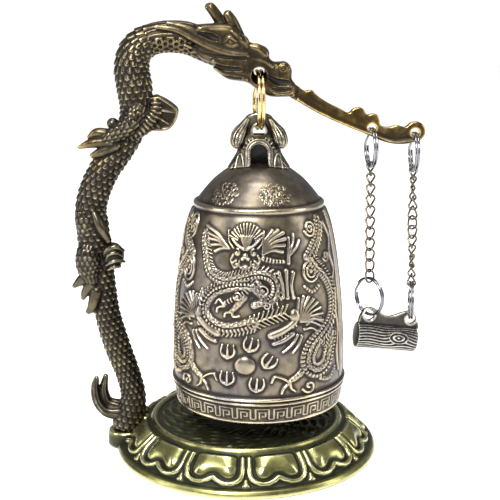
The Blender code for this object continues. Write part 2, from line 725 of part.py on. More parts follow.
def striker_outline():
    """The striker from the front: two rounded ears with a shallow notch between them."""
    half = STRIKER_HALF_LENGTH
    outline = [(-half - 0.6, -3.4), (half - 0.3, -3.7), (half + 0.3, 0.0), (half, 5.6)]
    outline += [(7.3, 7.9), (5.6, 8.3), (3.8, 7.9), (-0.4, 6.2)]
    outline += [(-3.6, 7.7), (-5.2, 8.3), (-7.0, 8.1), (-half, 5.9), (-half - 0.9, 0.0)]
    return outline


def make_striker(parts, guides, material):
    """A short log that hangs level from two ears; its ends are square and rough."""
    striker = plate("striker", striker_section(), STRIKER_HALF_LENGTH + 1.0, parts, material,
                    facing="X")
    front = plate("striker_front", striker_outline(), 6.0, guides)
    boolean(striker, front, "INTERSECT")
    left = Vector(LEFT_EAR)
    right = Vector(RIGHT_EAR)
    ear_line = (right - left) / 2
    half_span = ear_line.length
    for side, across in (("left", -half_span), ("right", half_span)):
        hole = hole_cutter(f"{side}_ear_hole", 0.0, 0.0, EAR_HOLE_RADIUS, FLANGE_HALF_DEPTH, guides)
        place_on_striker(hole, Matrix.Translation(Vector((across, 0.0, EAR_HOLE_HEIGHT)) * MM))
        cut(striker, hole)
    for obj in (striker, front):
        place_on_striker(obj, Matrix.Identity(4))


def place_on_striker(obj, offset):
    """Put a shape drawn about the log's middle where the striker hangs."""
    middle = (Vector(LEFT_EAR) + Vector(RIGHT_EAR)) / 2
    yaw = Matrix.Rotation(math.radians(STRIKER_YAW), 4, "Z")
    tilt = Matrix.Rotation(math.radians(STRIKER_TILT), 4, "Y")
    down = Matrix.Translation(Vector((0.0, 0.0, -EAR_HOLE_HEIGHT)) * MM)
    place = Matrix.Translation(middle * MM) @ yaw @ tilt @ down
    obj.matrix_world = place @ offset @ obj.matrix_basis


def main():
    clear_scene()
    parts = new_collection("temple_bell")
    guides = new_collection("guides")
    brass = new_material("base_brass", BRASS, 0.42)
    bronze = new_material("stand_bronze", DARK_BRONZE, 0.5)
    bell_metal = new_material("bell_metal", WARM_NICKEL, 0.36)
    crown_silver = new_material("crown_silver", ANTIQUE_SILVER, 0.4)
    gold = new_material("ring_gold", GOLD, 0.22)
    nickel = new_material("ring_nickel", NICKEL, 0.22)
    chain_nickel = new_material("chain_nickel", DARK_NICKEL, 0.35)
    striker_iron = new_material("striker_iron", IRON_GREY, 0.5)
    steel = new_material("screw_steel", STEEL, 0.3)
    make_base(parts, guides, brass)
    make_fasteners(parts, steel)
    make_stand(parts, guides, bronze)
    make_bell(parts, bell_metal)
    make_crown(parts, guides, crown_silver)
    make_rings(parts, gold, nickel)
    make_chains(parts, chain_nickel)
    make_striker(parts, guides, striker_iron)


main()
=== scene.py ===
"""Looks of the temple bell: fine castings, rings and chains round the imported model."""

import math

import bmesh
import bpy
import numpy as np
from mathutils import Matrix, Vector


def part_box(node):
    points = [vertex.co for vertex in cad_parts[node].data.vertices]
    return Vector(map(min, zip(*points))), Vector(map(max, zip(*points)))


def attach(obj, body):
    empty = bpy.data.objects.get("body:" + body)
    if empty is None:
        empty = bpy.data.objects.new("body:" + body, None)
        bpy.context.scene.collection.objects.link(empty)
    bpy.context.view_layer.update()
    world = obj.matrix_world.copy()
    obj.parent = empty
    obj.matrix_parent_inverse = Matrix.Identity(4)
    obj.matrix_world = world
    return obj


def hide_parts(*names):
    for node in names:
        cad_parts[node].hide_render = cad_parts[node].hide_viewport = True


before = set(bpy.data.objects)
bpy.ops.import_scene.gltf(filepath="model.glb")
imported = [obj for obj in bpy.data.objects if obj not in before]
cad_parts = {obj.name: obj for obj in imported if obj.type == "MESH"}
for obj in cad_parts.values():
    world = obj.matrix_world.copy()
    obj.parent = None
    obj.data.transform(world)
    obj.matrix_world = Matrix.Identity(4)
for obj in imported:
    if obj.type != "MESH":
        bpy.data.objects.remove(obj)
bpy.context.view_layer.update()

MM = 0.001

# Places that the frame gives, in millimetres.
BASE_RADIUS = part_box("base_dais")[1].y / MM
BELL_X = (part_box("bell_body")[0].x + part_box("bell_body")[1].x) / 2 / MM
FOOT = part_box("dragon_stand")[0].z / MM

# Camera, in metres and degrees, and lights: name, place, size, watts.
CAMERA_PLACE = (0.001073, -0.27593, 0.1184)
CAMERA_PITCH = 12.49
LENS = 73.08
SENSOR = 36.0
LIGHT_TARGET = (0.0, 0.0, 0.06)
LIGHTS = [
    ("key", (-0.16, -0.42, 0.46), (0.20, 0.18), 5.6),
    ("left", (-0.55, -0.18, 0.20), (0.12, 0.45), 1.7),
    ("right", (0.55, -0.12, 0.22), (0.12, 0.45), 1.7),
    ("top", (0.0, -0.10, 0.70), (0.30, 0.20), 2.8),
]
ROOM_STRENGTH = 1.05
MIRRORED_LOW = 0.18
MIRRORED_HIGH = 0.75

# Bell ring: its middle, its radius, its wire's radius and the radius of its slot in the jaw.
RING_X = 3.5
RING_HEIGHT = 98.75
BELL_RING_RADIUS = 7.65
BELL_RING_WIRE = 0.5
RING_SLOT_RADIUS = 2.15

# Striker's ears: the hole's radius and the radius of the collar round it.
EAR_HOLE = 1.36
COLLAR_RADIUS = 1.95

# Bell: heights where the relief ends, the dome starts and the roundels lie, and a height
# beyond the relief's canvas.
RELIEF_TOP = 70.0
DOME_START = 71.9
ROUNDEL_HEIGHT = 75.2
OFF_BELL = 500.0


# ---------------------------------------------------------------- curves and meshes


def smooth_curve(points, steps=10):
    """A smooth curve through rows of numbers, which may carry a width as their last one."""
    points = np.asarray(points, float)
    rows = np.vstack([2 * points[0] - points[1], points, 2 * points[-1] - points[-2]])
    t = np.linspace(0.0, 1.0, steps, endpoint=False)[:, None]
    curve = []
    for i in range(1, len(rows) - 2):
        a, b, c, d = rows[i - 1:i + 3]
        bend = (2 * a - 5 * b + 4 * c - d) * t ** 2 + (3 * b - a - 3 * c + d) * t ** 3
        curve.append(0.5 * (2 * b + (c - a) * t + bend))
    curve.append(rows[-2][None])
    return np.vstack(curve)


def lengths_along(curve):
    """How far along a curve each of its points is."""
    return np.concatenate([[0.0], np.cumsum(np.linalg.norm(np.diff(curve, axis=0), axis=1))])


def outward(curve):
    """The direction that a profile's surface faces at each of its points."""
    direction = np.gradient(curve, axis=0)
    direction /= np.linalg.norm(direction, axis=1)[:, None]
    return np.stack([-direction[:, 1], direction[:, 0]], axis=1)


def evenly(curve, spacing, places=2):
    """The same curve with its rows a set distance apart, measured over its first columns."""
    along = lengths_along(curve[:, :places])
    count = max(int(round(along[-1] / spacing)) + 1, 3)
    spots = np.linspace(0.0, along[-1], count)
    return np.stack([np.interp(spots, along, curve[:, k]) for k in range(curve.shape[1])], axis=1)


def mesh_of(name, corners, *face_groups):
    """A mesh from millimetre corners and arrays of faces, with its faces pointing out."""
    mesh = bpy.data.meshes.new(name)
    corners = np.asarray(corners, float) * MM
    volume = 0.0
    for faces in face_groups:
        for k in range(1, faces.shape[1] - 1):
            a, b, c = corners[faces[:, 0]], corners[faces[:, k]], corners[faces[:, k + 1]]
            volume += np.einsum("ij,ij->i", a, np.cross(b, c)).sum()
    if volume < 0:
        face_groups = [faces[:, ::-1] for faces in face_groups]
    loops = np.concatenate([faces.ravel() for faces in face_groups])
    sizes = np.concatenate([np.full(len(faces), faces.shape[1]) for faces in face_groups])
    mesh.vertices.add(len(corners))
    mesh.vertices.foreach_set("co", corners.astype(np.float32).ravel())
    mesh.loops.add(len(loops))
    mesh.loops.foreach_set("vertex_index", loops.astype(np.int32))
    mesh.polygons.add(len(sizes))
    starts = np.concatenate([[0], np.cumsum(sizes)[:-1]])
    mesh.polygons.foreach_set("loop_start", starts.astype(np.int32))
    mesh.update(calc_edges=True)
    mesh.validate()
    return mesh


def mesh_from(name, shape):
    """Turn a bmesh into a mesh and free it."""
    mesh = bpy.data.meshes.new(name)
    shape.to_mesh(mesh)
    shape.free()
    return mesh


def skin(name, points, ring=False):
    """A closed mesh over a grid of points: columns go round, and rows end in caps or in a ring."""
    rows, columns = points.shape[:2]
    corners = points.reshape(-1, 3)
    index = np.arange(rows * columns).reshape(rows, columns)
    index = np.concatenate([index, index[:, :1]], axis=1)
    if ring:
        index = np.concatenate([index, index[:1]], axis=0)
    quads = np.stack([index[:-1, :-1], index[1:, :-1], index[1:, 1:], index[:-1, 1:]], axis=-1)
    quads = quads.reshape(-1, 4)
    if ring:
        return mesh_of(name, corners, quads)
    first, last = len(corners), len(corners) + 1
    corners = np.vstack([corners, points[0].mean(0), points[-1].mean(0)])
    low = np.stack([index[0, :-1], index[0, 1:], np.full(columns, first)], axis=1)
    high = np.stack([index[-1, 1:], index[-1, :-1], np.full(columns, last)], axis=1)
    return mesh_of(name, corners, quads, np.vstack([low, high]))


def frames(path, closed):
    """Directions along a path and two directions across it, carried along without twisting."""
    if closed:
        along = np.roll(path, -1, axis=0) - np.roll(path, 1, axis=0)
    else:
        along = np.gradient(path, axis=0)
    along /= np.linalg.norm(along, axis=1)[:, None]
    start = np.cross([0.0, 1.0, 0.0], along[0])
    if np.linalg.norm(start) < 0.1:
        start = np.cross([1.0, 0.0, 0.0], along[0])
    across = [start / np.linalg.norm(start)]
    for direction in along[1:]:
        carried = across[-1] - direction * (across[-1] @ direction)
        across.append(carried / np.linalg.norm(carried))
    across = np.array(across)
    if closed:
        last = across[-1] - along[0] * (across[-1] @ along[0])
        gap = math.atan2(np.cross(last, across[0]) @ along[0], last @ across[0])
        turn = (gap * np.arange(len(path)) / len(path))[:, None]
        across = across * np.cos(turn) + np.cross(along, across) * np.sin(turn)
    return along, across, np.cross(along, across)


def sweep(name, path, radii, sides=16, closed=False, flat=1.0, blunt=1.0, pattern=None):
    """A bar along a path of points in millimetres, with round ends unless it is closed."""
    path = np.asarray(path, float)
    radii = np.broadcast_to(np.asarray(radii, float), (len(path),)).copy()
    along, across, out = frames(path, closed)
    angle = np.linspace(0.0, 2 * math.pi, sides, endpoint=False)
    reach = np.repeat(radii[:, None], sides, axis=1)
    if pattern is not None:
        distance = lengths_along(path)
        reach = reach + pattern(distance[:, None], angle[None, :], radii[:, None])
    spokes = across[:, None] * np.cos(angle)[None, :, None]
    spokes = spokes + flat * out[:, None] * np.sin(angle)[None, :, None]
    points = path[:, None] + reach[..., None] * spokes
    if closed:
        return skin(name, points, ring=True)
    caps = []
    for end, sign in ((0, -1.0), (-1, 1.0)):
        cap = []
        for degrees in (30.0, 55.0, 75.0, 88.0):
            shrink = math.cos(math.radians(degrees))
            push = math.sin(math.radians(degrees)) * radii[end] * blunt * sign
            cap.append(path[end] + along[end] * push + (points[end] - path[end]) * shrink)
        caps.append(np.array(cap))
    return skin(name, np.concatenate([caps[0][::-1], points, caps[1]]))


def bar(name, rows, spacing=0.35, **options):
    """A tapering bar through rows of across, out, up and radius."""
    curve = evenly(smooth_curve(rows), spacing, 3)
    return sweep(name, curve[:, :3], curve[:, 3], **options)


def ball(name, centre, half_sizes, turn=0.0, pattern=None):
    """A ball stretched to three half sizes and turned about Y by some degrees."""
    rows, columns = 26, 40
    tilt = np.linspace(0.02, math.pi - 0.02, rows)[:, None]
    spin = np.linspace(0.0, 2 * math.pi, columns, endpoint=False)[None, :]
    unit = np.stack([np.sin(tilt) * np.cos(spin), np.sin(tilt) * np.sin(spin),
                     np.cos(tilt) * np.ones_like(spin)], axis=-1)
    size = 1.0 if pattern is None else (1.0 + pattern(tilt, spin))[..., None]
    points = unit * np.asarray(half_sizes, float) * size
    c, s = math.cos(math.radians(turn)), math.sin(math.radians(turn))
    points = points @ np.array([[c, 0.0, s], [0.0, 1.0, 0.0], [-s, 0.0, c]])
    return skin(name, points + np.asarray(centre, float))


def slab(name, outline, half_depth, rounding, steps=4, centre_y=0.0):
    """A flat plate with rounded edges, from an (across, up) outline, thick along Y."""
    outline = np.asarray(outline, float)
    outline = evenly(smooth_curve(np.vstack([outline, outline[:1]]), 6), 0.5)[:-1]
    tangent = np.roll(outline, -1, axis=0) - np.roll(outline, 1, axis=0)
    normal = np.stack([tangent[:, 1], -tangent[:, 0]], axis=1)
    normal /= np.linalg.norm(normal, axis=1)[:, None]
    area = np.sum(outline[:, 0] * np.roll(outline[:, 1], -1) - outline[:, 1] * np.roll(outline[:, 0], -1))
    inward = -normal if area > 0 else normal
    layers = []
    for side in (-1, 1):
        order = range(steps + 1) if side < 0 else range(steps, -1, -1)
        for k in order:
            angle = math.pi / 2 * k / steps
            inset = rounding * (1 - math.sin(angle))
            depth = half_depth - rounding * (1 - math.cos(angle))
            layer = outline + inward * inset
            height = np.full(len(layer), centre_y + side * depth)
            layers.append(np.stack([layer[:, 0], height, layer[:, 1]], axis=1))
    points = np.array(layers)
    rows, columns = points.shape[:2]
    index = np.arange(rows * columns).reshape(rows, columns)
    shape = bmesh.new()
    corners = [shape.verts.new(Vector(co) * MM) for co in points.reshape(-1, 3)]
    for i in range(rows - 1):
        for j in range(columns):
            k = (j + 1) % columns
            quad = (index[i, j], index[i, k], index[i + 1, k], index[i + 1, j])
            shape.faces.new([corners[n] for n in quad])
    shape.faces.new([corners[n] for n in index[0][::-1]])
    shape.faces.new([corners[n] for n in index[-1]])
    bmesh.ops.recalc_face_normals(shape, faces=shape.faces)
    return mesh_from(name, shape)


def turned(name, profile, columns, spacing=None, centre_x=0.0):
    """A turned ring from a closed list of (radius, height) points."""
    profile = np.asarray(profile, float)
    if spacing is not None:
        profile = evenly(np.vstack([profile, profile[:1]]), spacing)[:-1]
    angle = np.linspace(0.0, 2 * math.pi, columns, endpoint=False)
    radius, height = profile[:, 0][:, None], profile[:, 1][:, None]
    points = np.stack([centre_x + radius * np.cos(angle), radius * np.sin(angle),
                       height * np.ones_like(angle)], axis=-1)
    return skin(name, points, ring=True)


def peg(name, centre, radius, half_length, wide=0.0):
    """A closed peg along Y whose ends open out, which cuts a hole with softened edges."""
    profile = [(0.001, -half_length), (radius + wide, -half_length), (radius, -half_length + wide * 1.4),
               (radius, half_length - wide * 1.4), (radius + wide, half_length), (0.001, half_length)]
    angle = np.linspace(0.0, 2 * math.pi, 40, endpoint=False)
    rows = np.asarray(profile)
    x, y, z = centre
    points = np.stack([x + rows[:, :1] * np.cos(angle), y + rows[:, 1:] * np.ones_like(angle),
                       z + rows[:, :1] * np.sin(angle)], axis=-1)
    return skin(name, points)


def block(name, low, high):
    """A plain box between two corners."""
    shape = bmesh.new()
    low, high = Vector(low) * MM, Vector(high) * MM
    place = Matrix.Translation((low + high) / 2) @ Matrix.Diagonal((*(high - low), 1.0))
    bmesh.ops.create_cube(shape, size=1.0, matrix=place)
    return mesh_from(name, shape)


def shaft(name, radius, top, bottom, columns, centre_x):
    """A plain round upright cutter."""
    profile = [(0.001, top), (radius, top), (radius, bottom), (0.001, bottom)]
    return turned(name, profile, columns, None, centre_x)


def hoop(centre, radius, wire):
    """A round ring of wire that faces along Y."""
    x, y, z = centre
    angle = np.linspace(0.0, 2 * math.pi, 40, endpoint=False)
    path = np.stack([x + radius * np.cos(angle), np.full(40, y), z + radius * np.sin(angle)], axis=1)
    return sweep("collar", path, wire, 12, closed=True)


# ---------------------------------------------------------------- joining, cutting and placing


def new_object(name, mesh):
    obj = bpy.data.objects.new(name, mesh)
    bpy.context.scene.collection.objects.link(obj)
    return obj


def with_modifiers_applied(obj):
    """Replace an object's mesh by the one that its modifiers make."""
    bpy.context.view_layer.update()
    graph = bpy.context.evaluated_depsgraph_get()
    mesh = bpy.data.meshes.new_from_object(obj.evaluated_get(graph))
    obj.modifiers.clear()
    obj.data = mesh
    return obj


def melt(name, meshes, voxel):
    """Several closed shapes run together into one even skin, as in a casting."""
    shape = bmesh.new()
    for mesh in meshes:
        shape.from_mesh(mesh)
    obj = new_object(name, mesh_from(name, shape))
    remesh = obj.modifiers.new("skin", "REMESH")
    remesh.mode = "VOXEL"
    remesh.voxel_size = voxel * MM
    return with_modifiers_applied(obj)


def carve(obj, cutters, operation="DIFFERENCE"):
    """Cut closed shapes out of an object, or join them to it."""
    helpers = []
    for mesh in cutters:
        helper = new_object(mesh.name, mesh)
        helper.hide_render = True
        modifier = obj.modifiers.new(mesh.name, "BOOLEAN")
        modifier.operation = operation
        modifier.solver = "MANIFOLD"
        modifier.object = helper
        helpers.append(helper)
    with_modifiers_applied(obj)
    for helper in helpers:
        bpy.data.objects.remove(helper, do_unlink=True)
    return obj


def corner_vectors(mesh, name):
    """The places or normals of a mesh's corners, one row each."""
    values = np.empty(len(mesh.vertices) * 3, np.float32)
    mesh.vertices.foreach_get(name, values)
    return values.reshape(-1, 3)


def store(mesh, name, values):
    """Keep one number for each corner, for the materials to read."""
    attribute = mesh.attributes.new(name, "FLOAT", "POINT")
    attribute.data.foreach_set("value", values.astype(np.float32))


def mark_relief(obj, passes, depth, shade=None):
    """Store how far each corner stands above its surroundings: 0 is a hollow, 1 an edge."""
    mesh = obj.data
    count = len(mesh.vertices)
    place = corner_vectors(mesh, "co").astype(float)
    normal = corner_vectors(mesh, "normal")
    ends = np.empty(len(mesh.edges) * 2, np.int32)
    mesh.edges.foreach_get("vertices", ends)
    a, b = ends.reshape(-1, 2).T
    degree = np.maximum(np.bincount(ends, minlength=count), 1)[:, None]
    smooth = place.copy()
    for _ in range(passes):
        total = [np.bincount(a, smooth[b, k], count) + np.bincount(b, smooth[a, k], count)
                 for k in range(3)]
        smooth = 0.5 * smooth + 0.5 * np.stack(total, axis=1) / degree
    height = np.einsum("ij,ij->i", place - smooth, normal)
    value = np.clip(0.5 + height / (2 * depth * MM), 0.0, 1.0)
    # An optional shade hook darkens chosen places: painted shade.
    if shade is not None:
        value = value * shade(place / MM)
    store(mesh, "relief", value)


def mark_gilt(obj, share):
    """Store how golden the finish is at each corner, 0 to 1."""
    store(obj.data, "gilt", share(corner_vectors(obj.data, "co") / MM))


def finish_piece(obj, body, slot, material, *nodes, passes=20, depth=0.25, shade=None):
    """Shade a piece smooth, give it its material and its body, and hide what it stands for."""
    mark_relief(obj, passes, depth, shade)
    obj.data.shade_smooth()
    obj.data.materials.clear()
    obj.data.materials.append(material)
    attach(obj, body)
    if nodes:
        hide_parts(*nodes)
    return obj


# ---------------------------------------------------------------- relief drawing


def new_canvas(across, up):
    """A sheet to draw relief on: across and up are the places of its columns and rows."""
    return {"across": across, "up": up, "height": np.zeros((len(up), len(across)))}


def near(canvas, path, reach):
    """The window of a canvas round a path, with distance, length along and side for each spot."""
    low, high = path.min(0) - reach, path.max(0) + reach
    columns = np.where((canvas["across"] >= low[0]) & (canvas["across"] <= high[0]))[0]
    rows = np.where((canvas["up"] >= low[1]) & (canvas["up"] <= high[1]))[0]
    if len(columns) == 0 or len(rows) == 0:
        return None
    window = np.ix_(rows, columns)
    u, v = np.meshgrid(canvas["across"][columns], canvas["up"][rows])
    best = np.full(u.shape, 1e9)
    along = np.zeros(u.shape)
    side = np.zeros(u.shape)
    travelled = 0.0
    for start, end in zip(path[:-1], path[1:]):
        du, dv = end - start
        length = math.hypot(du, dv)
        if length < 1e-9:
            continue
        t = np.clip(((u - start[0]) * du + (v - start[1]) * dv) / length ** 2, 0.0, 1.0)
        off_u, off_v = u - start[0] - t * du, v - start[1] - t * dv
        distance = np.hypot(off_u, off_v)
        closer = distance < best
        best[closer] = distance[closer]
        along[closer] = travelled + (t * length)[closer]
        side[closer] = np.sign(du * off_v - dv * off_u)[closer]
        travelled += length
    return window, best, along, side, travelled


def scales(along, around):
    """Overlapping scales, one unit long and wide: how high each spot stands, 0 to 1."""
    height = np.zeros(np.broadcast(along, around).shape)
    free = np.ones(height.shape, bool)
    for back in (1, 0):
        row = np.floor(along) - back
        x = np.mod(around + 0.5 * np.mod(row, 2), 1.0) - 0.5
        y = along - row
        tip = 0.85 + 0.75 * np.sqrt(np.clip(1 - (2 * x) ** 2, 0.0, 1.0))
        inside = free & (y <= tip)
        dome = 1 - 0.5 * (2 * x) ** 2
        height = np.where(inside, (0.25 + 0.75 * np.clip(y / 1.6, 0, 1)) * dome, height)
        free &= ~inside
    return height


def stroke(canvas, points, start, end, height, texture=None, curved=True):
    """Raise a rounded stroke along a path, its half width running from start to end."""
    path = np.asarray(points, float)
    if curved and len(path) > 2:
        path = smooth_curve(path, 6)
    found = near(canvas, path, max(start, end) + 0.2)
    if found is None:
        return
    window, distance, along, side, length = found
    half = start + (end - start) * along / max(length, 1e-6)
    shape = np.sqrt(np.clip(1 - (distance / half) ** 2, 0.0, 1.0))
    if texture == "scales":
        shape = shape * (0.45 + 0.65 * scales(along / 0.95, side * distance / 0.95))
    if texture == "ribs":
        shape = shape * (0.55 + 0.45 * np.cos(along * 2 * math.pi / 0.9))
    if texture == "coil":
        place = side * distance / half
        belly = 0.35 + 0.65 * np.abs(np.sin(along * math.pi / 0.95 + 0.7 * place))
        back = 0.30 + 0.80 * scales(along / 1.1, place * half / 0.95)
        groove = 1 - 0.7 * np.exp(-((place + 0.1) / 0.14) ** 2)
        shape = shape * np.where(place < -0.1, belly, back) * groove
    sheet = canvas["height"]
    sheet[window] = np.maximum(sheet[window], height * shape)


def draw_lines(canvas, lines, flip=(1, 1)):
    """Raise strokes from rows of start, end, height, texture and one or more paths."""
    for start, end, height, texture, *paths in lines:
        for path in paths:
            stroke(canvas, np.array(path) * flip, start, end, height, texture)


def dot(canvas, centre, radius, height, stretch=1.0):
    """Raise a round knob, which may be taller than it is wide."""
    u, v = np.meshgrid(canvas["across"], canvas["up"])
    distance = np.hypot(u - centre[0], (v - centre[1]) / stretch) / radius
    shape = np.sqrt(np.clip(1 - distance ** 2, 0.0, 1.0))
    canvas["height"] = np.maximum(canvas["height"], height * shape)


def curl(canvas, centre, radius, turns, hand=1, start=0.0, half=0.34, height=0.6):
    """Raise a spiral that winds in to its centre."""
    angle = np.linspace(0.0, turns * 2 * math.pi, int(14 * turns) + 2)
    reach = radius * (1 - 0.88 * angle / angle[-1])
    turn = math.radians(start) + hand * angle
    path = np.stack([centre[0] + reach * np.cos(turn), centre[1] + reach * np.sin(turn)], axis=1)
    stroke(canvas, path, half, half * 0.8, height, curved=False)


def fringe(canvas, points, gap, reach, pitch, height, both=False):
    """Raise a comb of short slanting spines along one side or both sides of a path."""
    path = evenly(smooth_curve(points, 8), pitch)
    direction = np.gradient(path, axis=0)
    direction /= np.linalg.norm(direction, axis=1)[:, None]
    across = np.stack([-direction[:, 1], direction[:, 0]], axis=1)
    for hand in (1, -1) if both else (1,):
        for spot, forward, out in zip(path, direction, across * hand):
            root = spot + out * gap
            tip = root + (out + 0.8 * forward) * reach
            stroke(canvas, [root, tip], 0.27, 0.16, height, curved=False)


def cloud(canvas, centre, radius, tall, height=0.55):
    """Raise an oval cloud of rings one inside another."""
    angle = np.linspace(0.0, 2 * math.pi, 30)
    for share in (1.0, 0.58):
        ring = np.stack([centre[0] + radius * share * np.cos(angle),
                         centre[1] + radius * share * tall * np.sin(angle)], axis=1)
        stroke(canvas, ring, 0.36, 0.36, height, curved=False)
    dot(canvas, centre, radius * 0.26, height, tall)


def fan(canvas, root, tips, start, end, height, bow=0.0):
    """Raise a fan of strokes from one root to each tip, each bowed sideways a little."""
    root = np.asarray(root, float)
    for tip in np.asarray(tips, float):
        span = tip - root
        middle = root + 0.5 * span + bow * np.array([-span[1], span[0]])
        stroke(canvas, [root, middle, tip], start, end, height)


# ---------------------------------------------------------------- materials

GILT_TINT = (1.9, 1.50, 0.78, 1.0)


def node(tree, kind, **settings):
    made = tree.nodes.new(kind)
    for key, value in settings.items():
        setattr(made, key, value)
    return made


def noise(tree, coordinates, scale, detail=4.0, stretch=None):
    """A noise texture over the object's own place, drawn out along some directions."""
    texture = node(tree, "ShaderNodeTexNoise")
    texture.inputs["Scale"].default_value = scale
    texture.inputs["Detail"].default_value = detail
    if stretch is not None:
        mapping = node(tree, "ShaderNodeMapping")
        mapping.inputs["Scale"].default_value = stretch
        tree.links.new(coordinates, mapping.inputs["Vector"])
        coordinates = mapping.outputs["Vector"]
    tree.links.new(coordinates, texture.inputs["Vector"])
    return texture.outputs["Fac"]


def scaled(tree, value, low, high, to_low, to_high):
    """Carry a value from one range to another."""
    ranger = node(tree, "ShaderNodeMapRange")
    for key, number in (("From Min", low), ("From Max", high), ("To Min", to_low), ("To Max", to_high)):
        ranger.inputs[key].default_value = number
    tree.links.new(value, ranger.inputs["Value"])
    return ranger.outputs["Result"]


def combined(tree, operation, first, second):
    made = node(tree, "ShaderNodeMath", operation=operation)
    for socket, value in zip(made.inputs, (first, second)):
        if isinstance(value, float):
            socket.default_value = value
        else:
            tree.links.new(value, socket)
    return made.outputs["Value"]


def ramp(tree, value, stops):
    """Colours for a value, from (place, colour) stops."""
    made = node(tree, "ShaderNodeValToRGB")
    band = made.color_ramp
    while len(band.elements) < len(stops):
        band.elements.new(0.5)
    for element, (place, colour) in zip(band.elements, stops):
        element.position = place
        element.color = (*colour, 1.0)
    tree.links.new(value, made.inputs["Fac"])
    return made.outputs["Color"]


def metal(name, stops, rough_hollow, rough_edge, wear=0.12, mottle=0.25, grain=0.25, brush=None):
    """Plated metal: hollows dark from real patina and painted shade, edges bright from rubbing and painted
    highlight.
    """
    material = bpy.data.materials.new(name)
    material.use_nodes = True
    tree = material.node_tree
    shader = tree.nodes["Principled BSDF"]
    coordinates = node(tree, "ShaderNodeTexCoord").outputs["Object"]
    relief = node(tree, "ShaderNodeAttribute", attribute_name="relief").outputs["Fac"]
    patches = noise(tree, coordinates, 420.0, 5.0)
    clouds = noise(tree, coordinates, 95.0, 3.0)
    shifted = combined(tree, "ADD", relief, scaled(tree, patches, 0.25, 0.75, -wear, wear))
    # Colour by relief: real patina and rubbing, plus painted shade in hollows and painted highlight on edges.
    colour = ramp(tree, shifted, stops)
    golden = node(tree, "ShaderNodeMix", data_type="RGBA", blend_type="MULTIPLY")
    gilt = node(tree, "ShaderNodeAttribute", attribute_name="gilt").outputs["Fac"]
    tree.links.new(gilt, golden.inputs["Factor"])
    tree.links.new(colour, golden.inputs[6])
    golden.inputs[7].default_value = GILT_TINT
    golden.clamp_result = False
    colour = golden.outputs[2]
    shade = node(tree, "ShaderNodeMix", data_type="RGBA", blend_type="MULTIPLY")
    shade.inputs["Factor"].default_value = 1.0
    cool = [1.0 - mottle, 1.0 - mottle, 1.0 - 0.7 * mottle]
    warm = [1.0, 1.0 - 0.15 * mottle, 1.0 - 0.6 * mottle]
    tone = ramp(tree, clouds, [(0.32, cool), (0.66, warm)])
    tree.links.new(colour, shade.inputs[6])
    tree.links.new(tone, shade.inputs[7])
    tree.links.new(shade.outputs[2], shader.inputs["Base Color"])
    rough = scaled(tree, shifted, 0.35, 0.62, rough_hollow, rough_edge)
    rough = combined(tree, "ADD", rough, scaled(tree, patches, 0.3, 0.7, -0.05, 0.05))
    tree.links.new(rough, shader.inputs["Roughness"])
    tree.links.new(scaled(tree, shifted, 0.3, 0.5, 0.7, 1.0), shader.inputs["Metallic"])
    fine = noise(tree, coordinates, 2600.0, 3.0)
    if brush is not None:
        fine = combined(tree, "ADD", fine, noise(tree, coordinates, 1.0, 3.0, brush))
    bump = node(tree, "ShaderNodeBump")
    bump.inputs["Strength"].default_value = grain
    bump.inputs["Distance"].default_value = 0.05 * MM
    tree.links.new(fine, bump.inputs["Height"])
    tree.links.new(bump.outputs["Normal"], shader.inputs["Normal"])
    return material


def make_materials():
    """One antique finish for each casting, and brighter plating for rings, chains and screws. Each ramp runs
    from hollow to edge, with painted shade and painted highlight on top of the patina.
    """
    return {
        "base": metal("base_brass", [(0.24, (0.006, 0.007, 0.004)), (0.44, (0.040, 0.042, 0.018)),
                                     (0.55, (0.20, 0.195, 0.075)), (0.78, (0.46, 0.45, 0.23))],
                      0.50, 0.25, wear=0.05, mottle=0.12),
        "stand": metal("stand_bronze", [(0.28, (0.006, 0.005, 0.005)), (0.48, (0.022, 0.019, 0.015)),
                                        (0.62, (0.095, 0.082, 0.055)), (0.84, (0.46, 0.41, 0.28))],
                       0.50, 0.28, wear=0.08),
        "bell": metal("bell_metal", [(0.25, (0.008, 0.007, 0.007)), (0.44, (0.036, 0.031, 0.029)),
                                     (0.52, (0.175, 0.152, 0.120)), (0.86, (0.62, 0.56, 0.44))],
                      0.44, 0.28, wear=0.04, mottle=0.32, brush=(60.0, 60.0, 5200.0)),
        "crown": metal("crown_silver", [(0.28, (0.006, 0.006, 0.007)), (0.46, (0.036, 0.035, 0.033)),
                                        (0.56, (0.150, 0.134, 0.098)), (0.80, (0.50, 0.455, 0.345))],
                       0.46, 0.28, wear=0.07),
        "gold": metal("ring_gold", [(0.0, (0.28, 0.17, 0.05)), (1.0, (0.66, 0.50, 0.23))],
                      0.20, 0.16, mottle=0.08, grain=0.08),
        "nickel": metal("ring_nickel", [(0.0, (0.06, 0.06, 0.07)), (1.0, (0.30, 0.30, 0.32))],
                        0.22, 0.18, mottle=0.12, grain=0.08),
        "chain": metal("chain_nickel", [(0.0, (0.012, 0.010, 0.008)), (1.0, (0.15, 0.122, 0.090))],
                       0.36, 0.26, mottle=0.25, grain=0.15),
        "striker": metal("striker_iron", [(0.28, (0.008, 0.008, 0.008)), (0.46, (0.034, 0.032, 0.031)),
                                          (0.58, (0.080, 0.077, 0.072)), (0.78, (0.52, 0.50, 0.46))],
                         0.48, 0.30, wear=0.05),
        "steel": metal("screw_steel", [(0.0, (0.40, 0.40, 0.41)), (1.0, (0.66, 0.66, 0.67))],
                       0.34, 0.28, mottle=0.10, grain=0.12),
    }


# ---------------------------------------------------------------- base

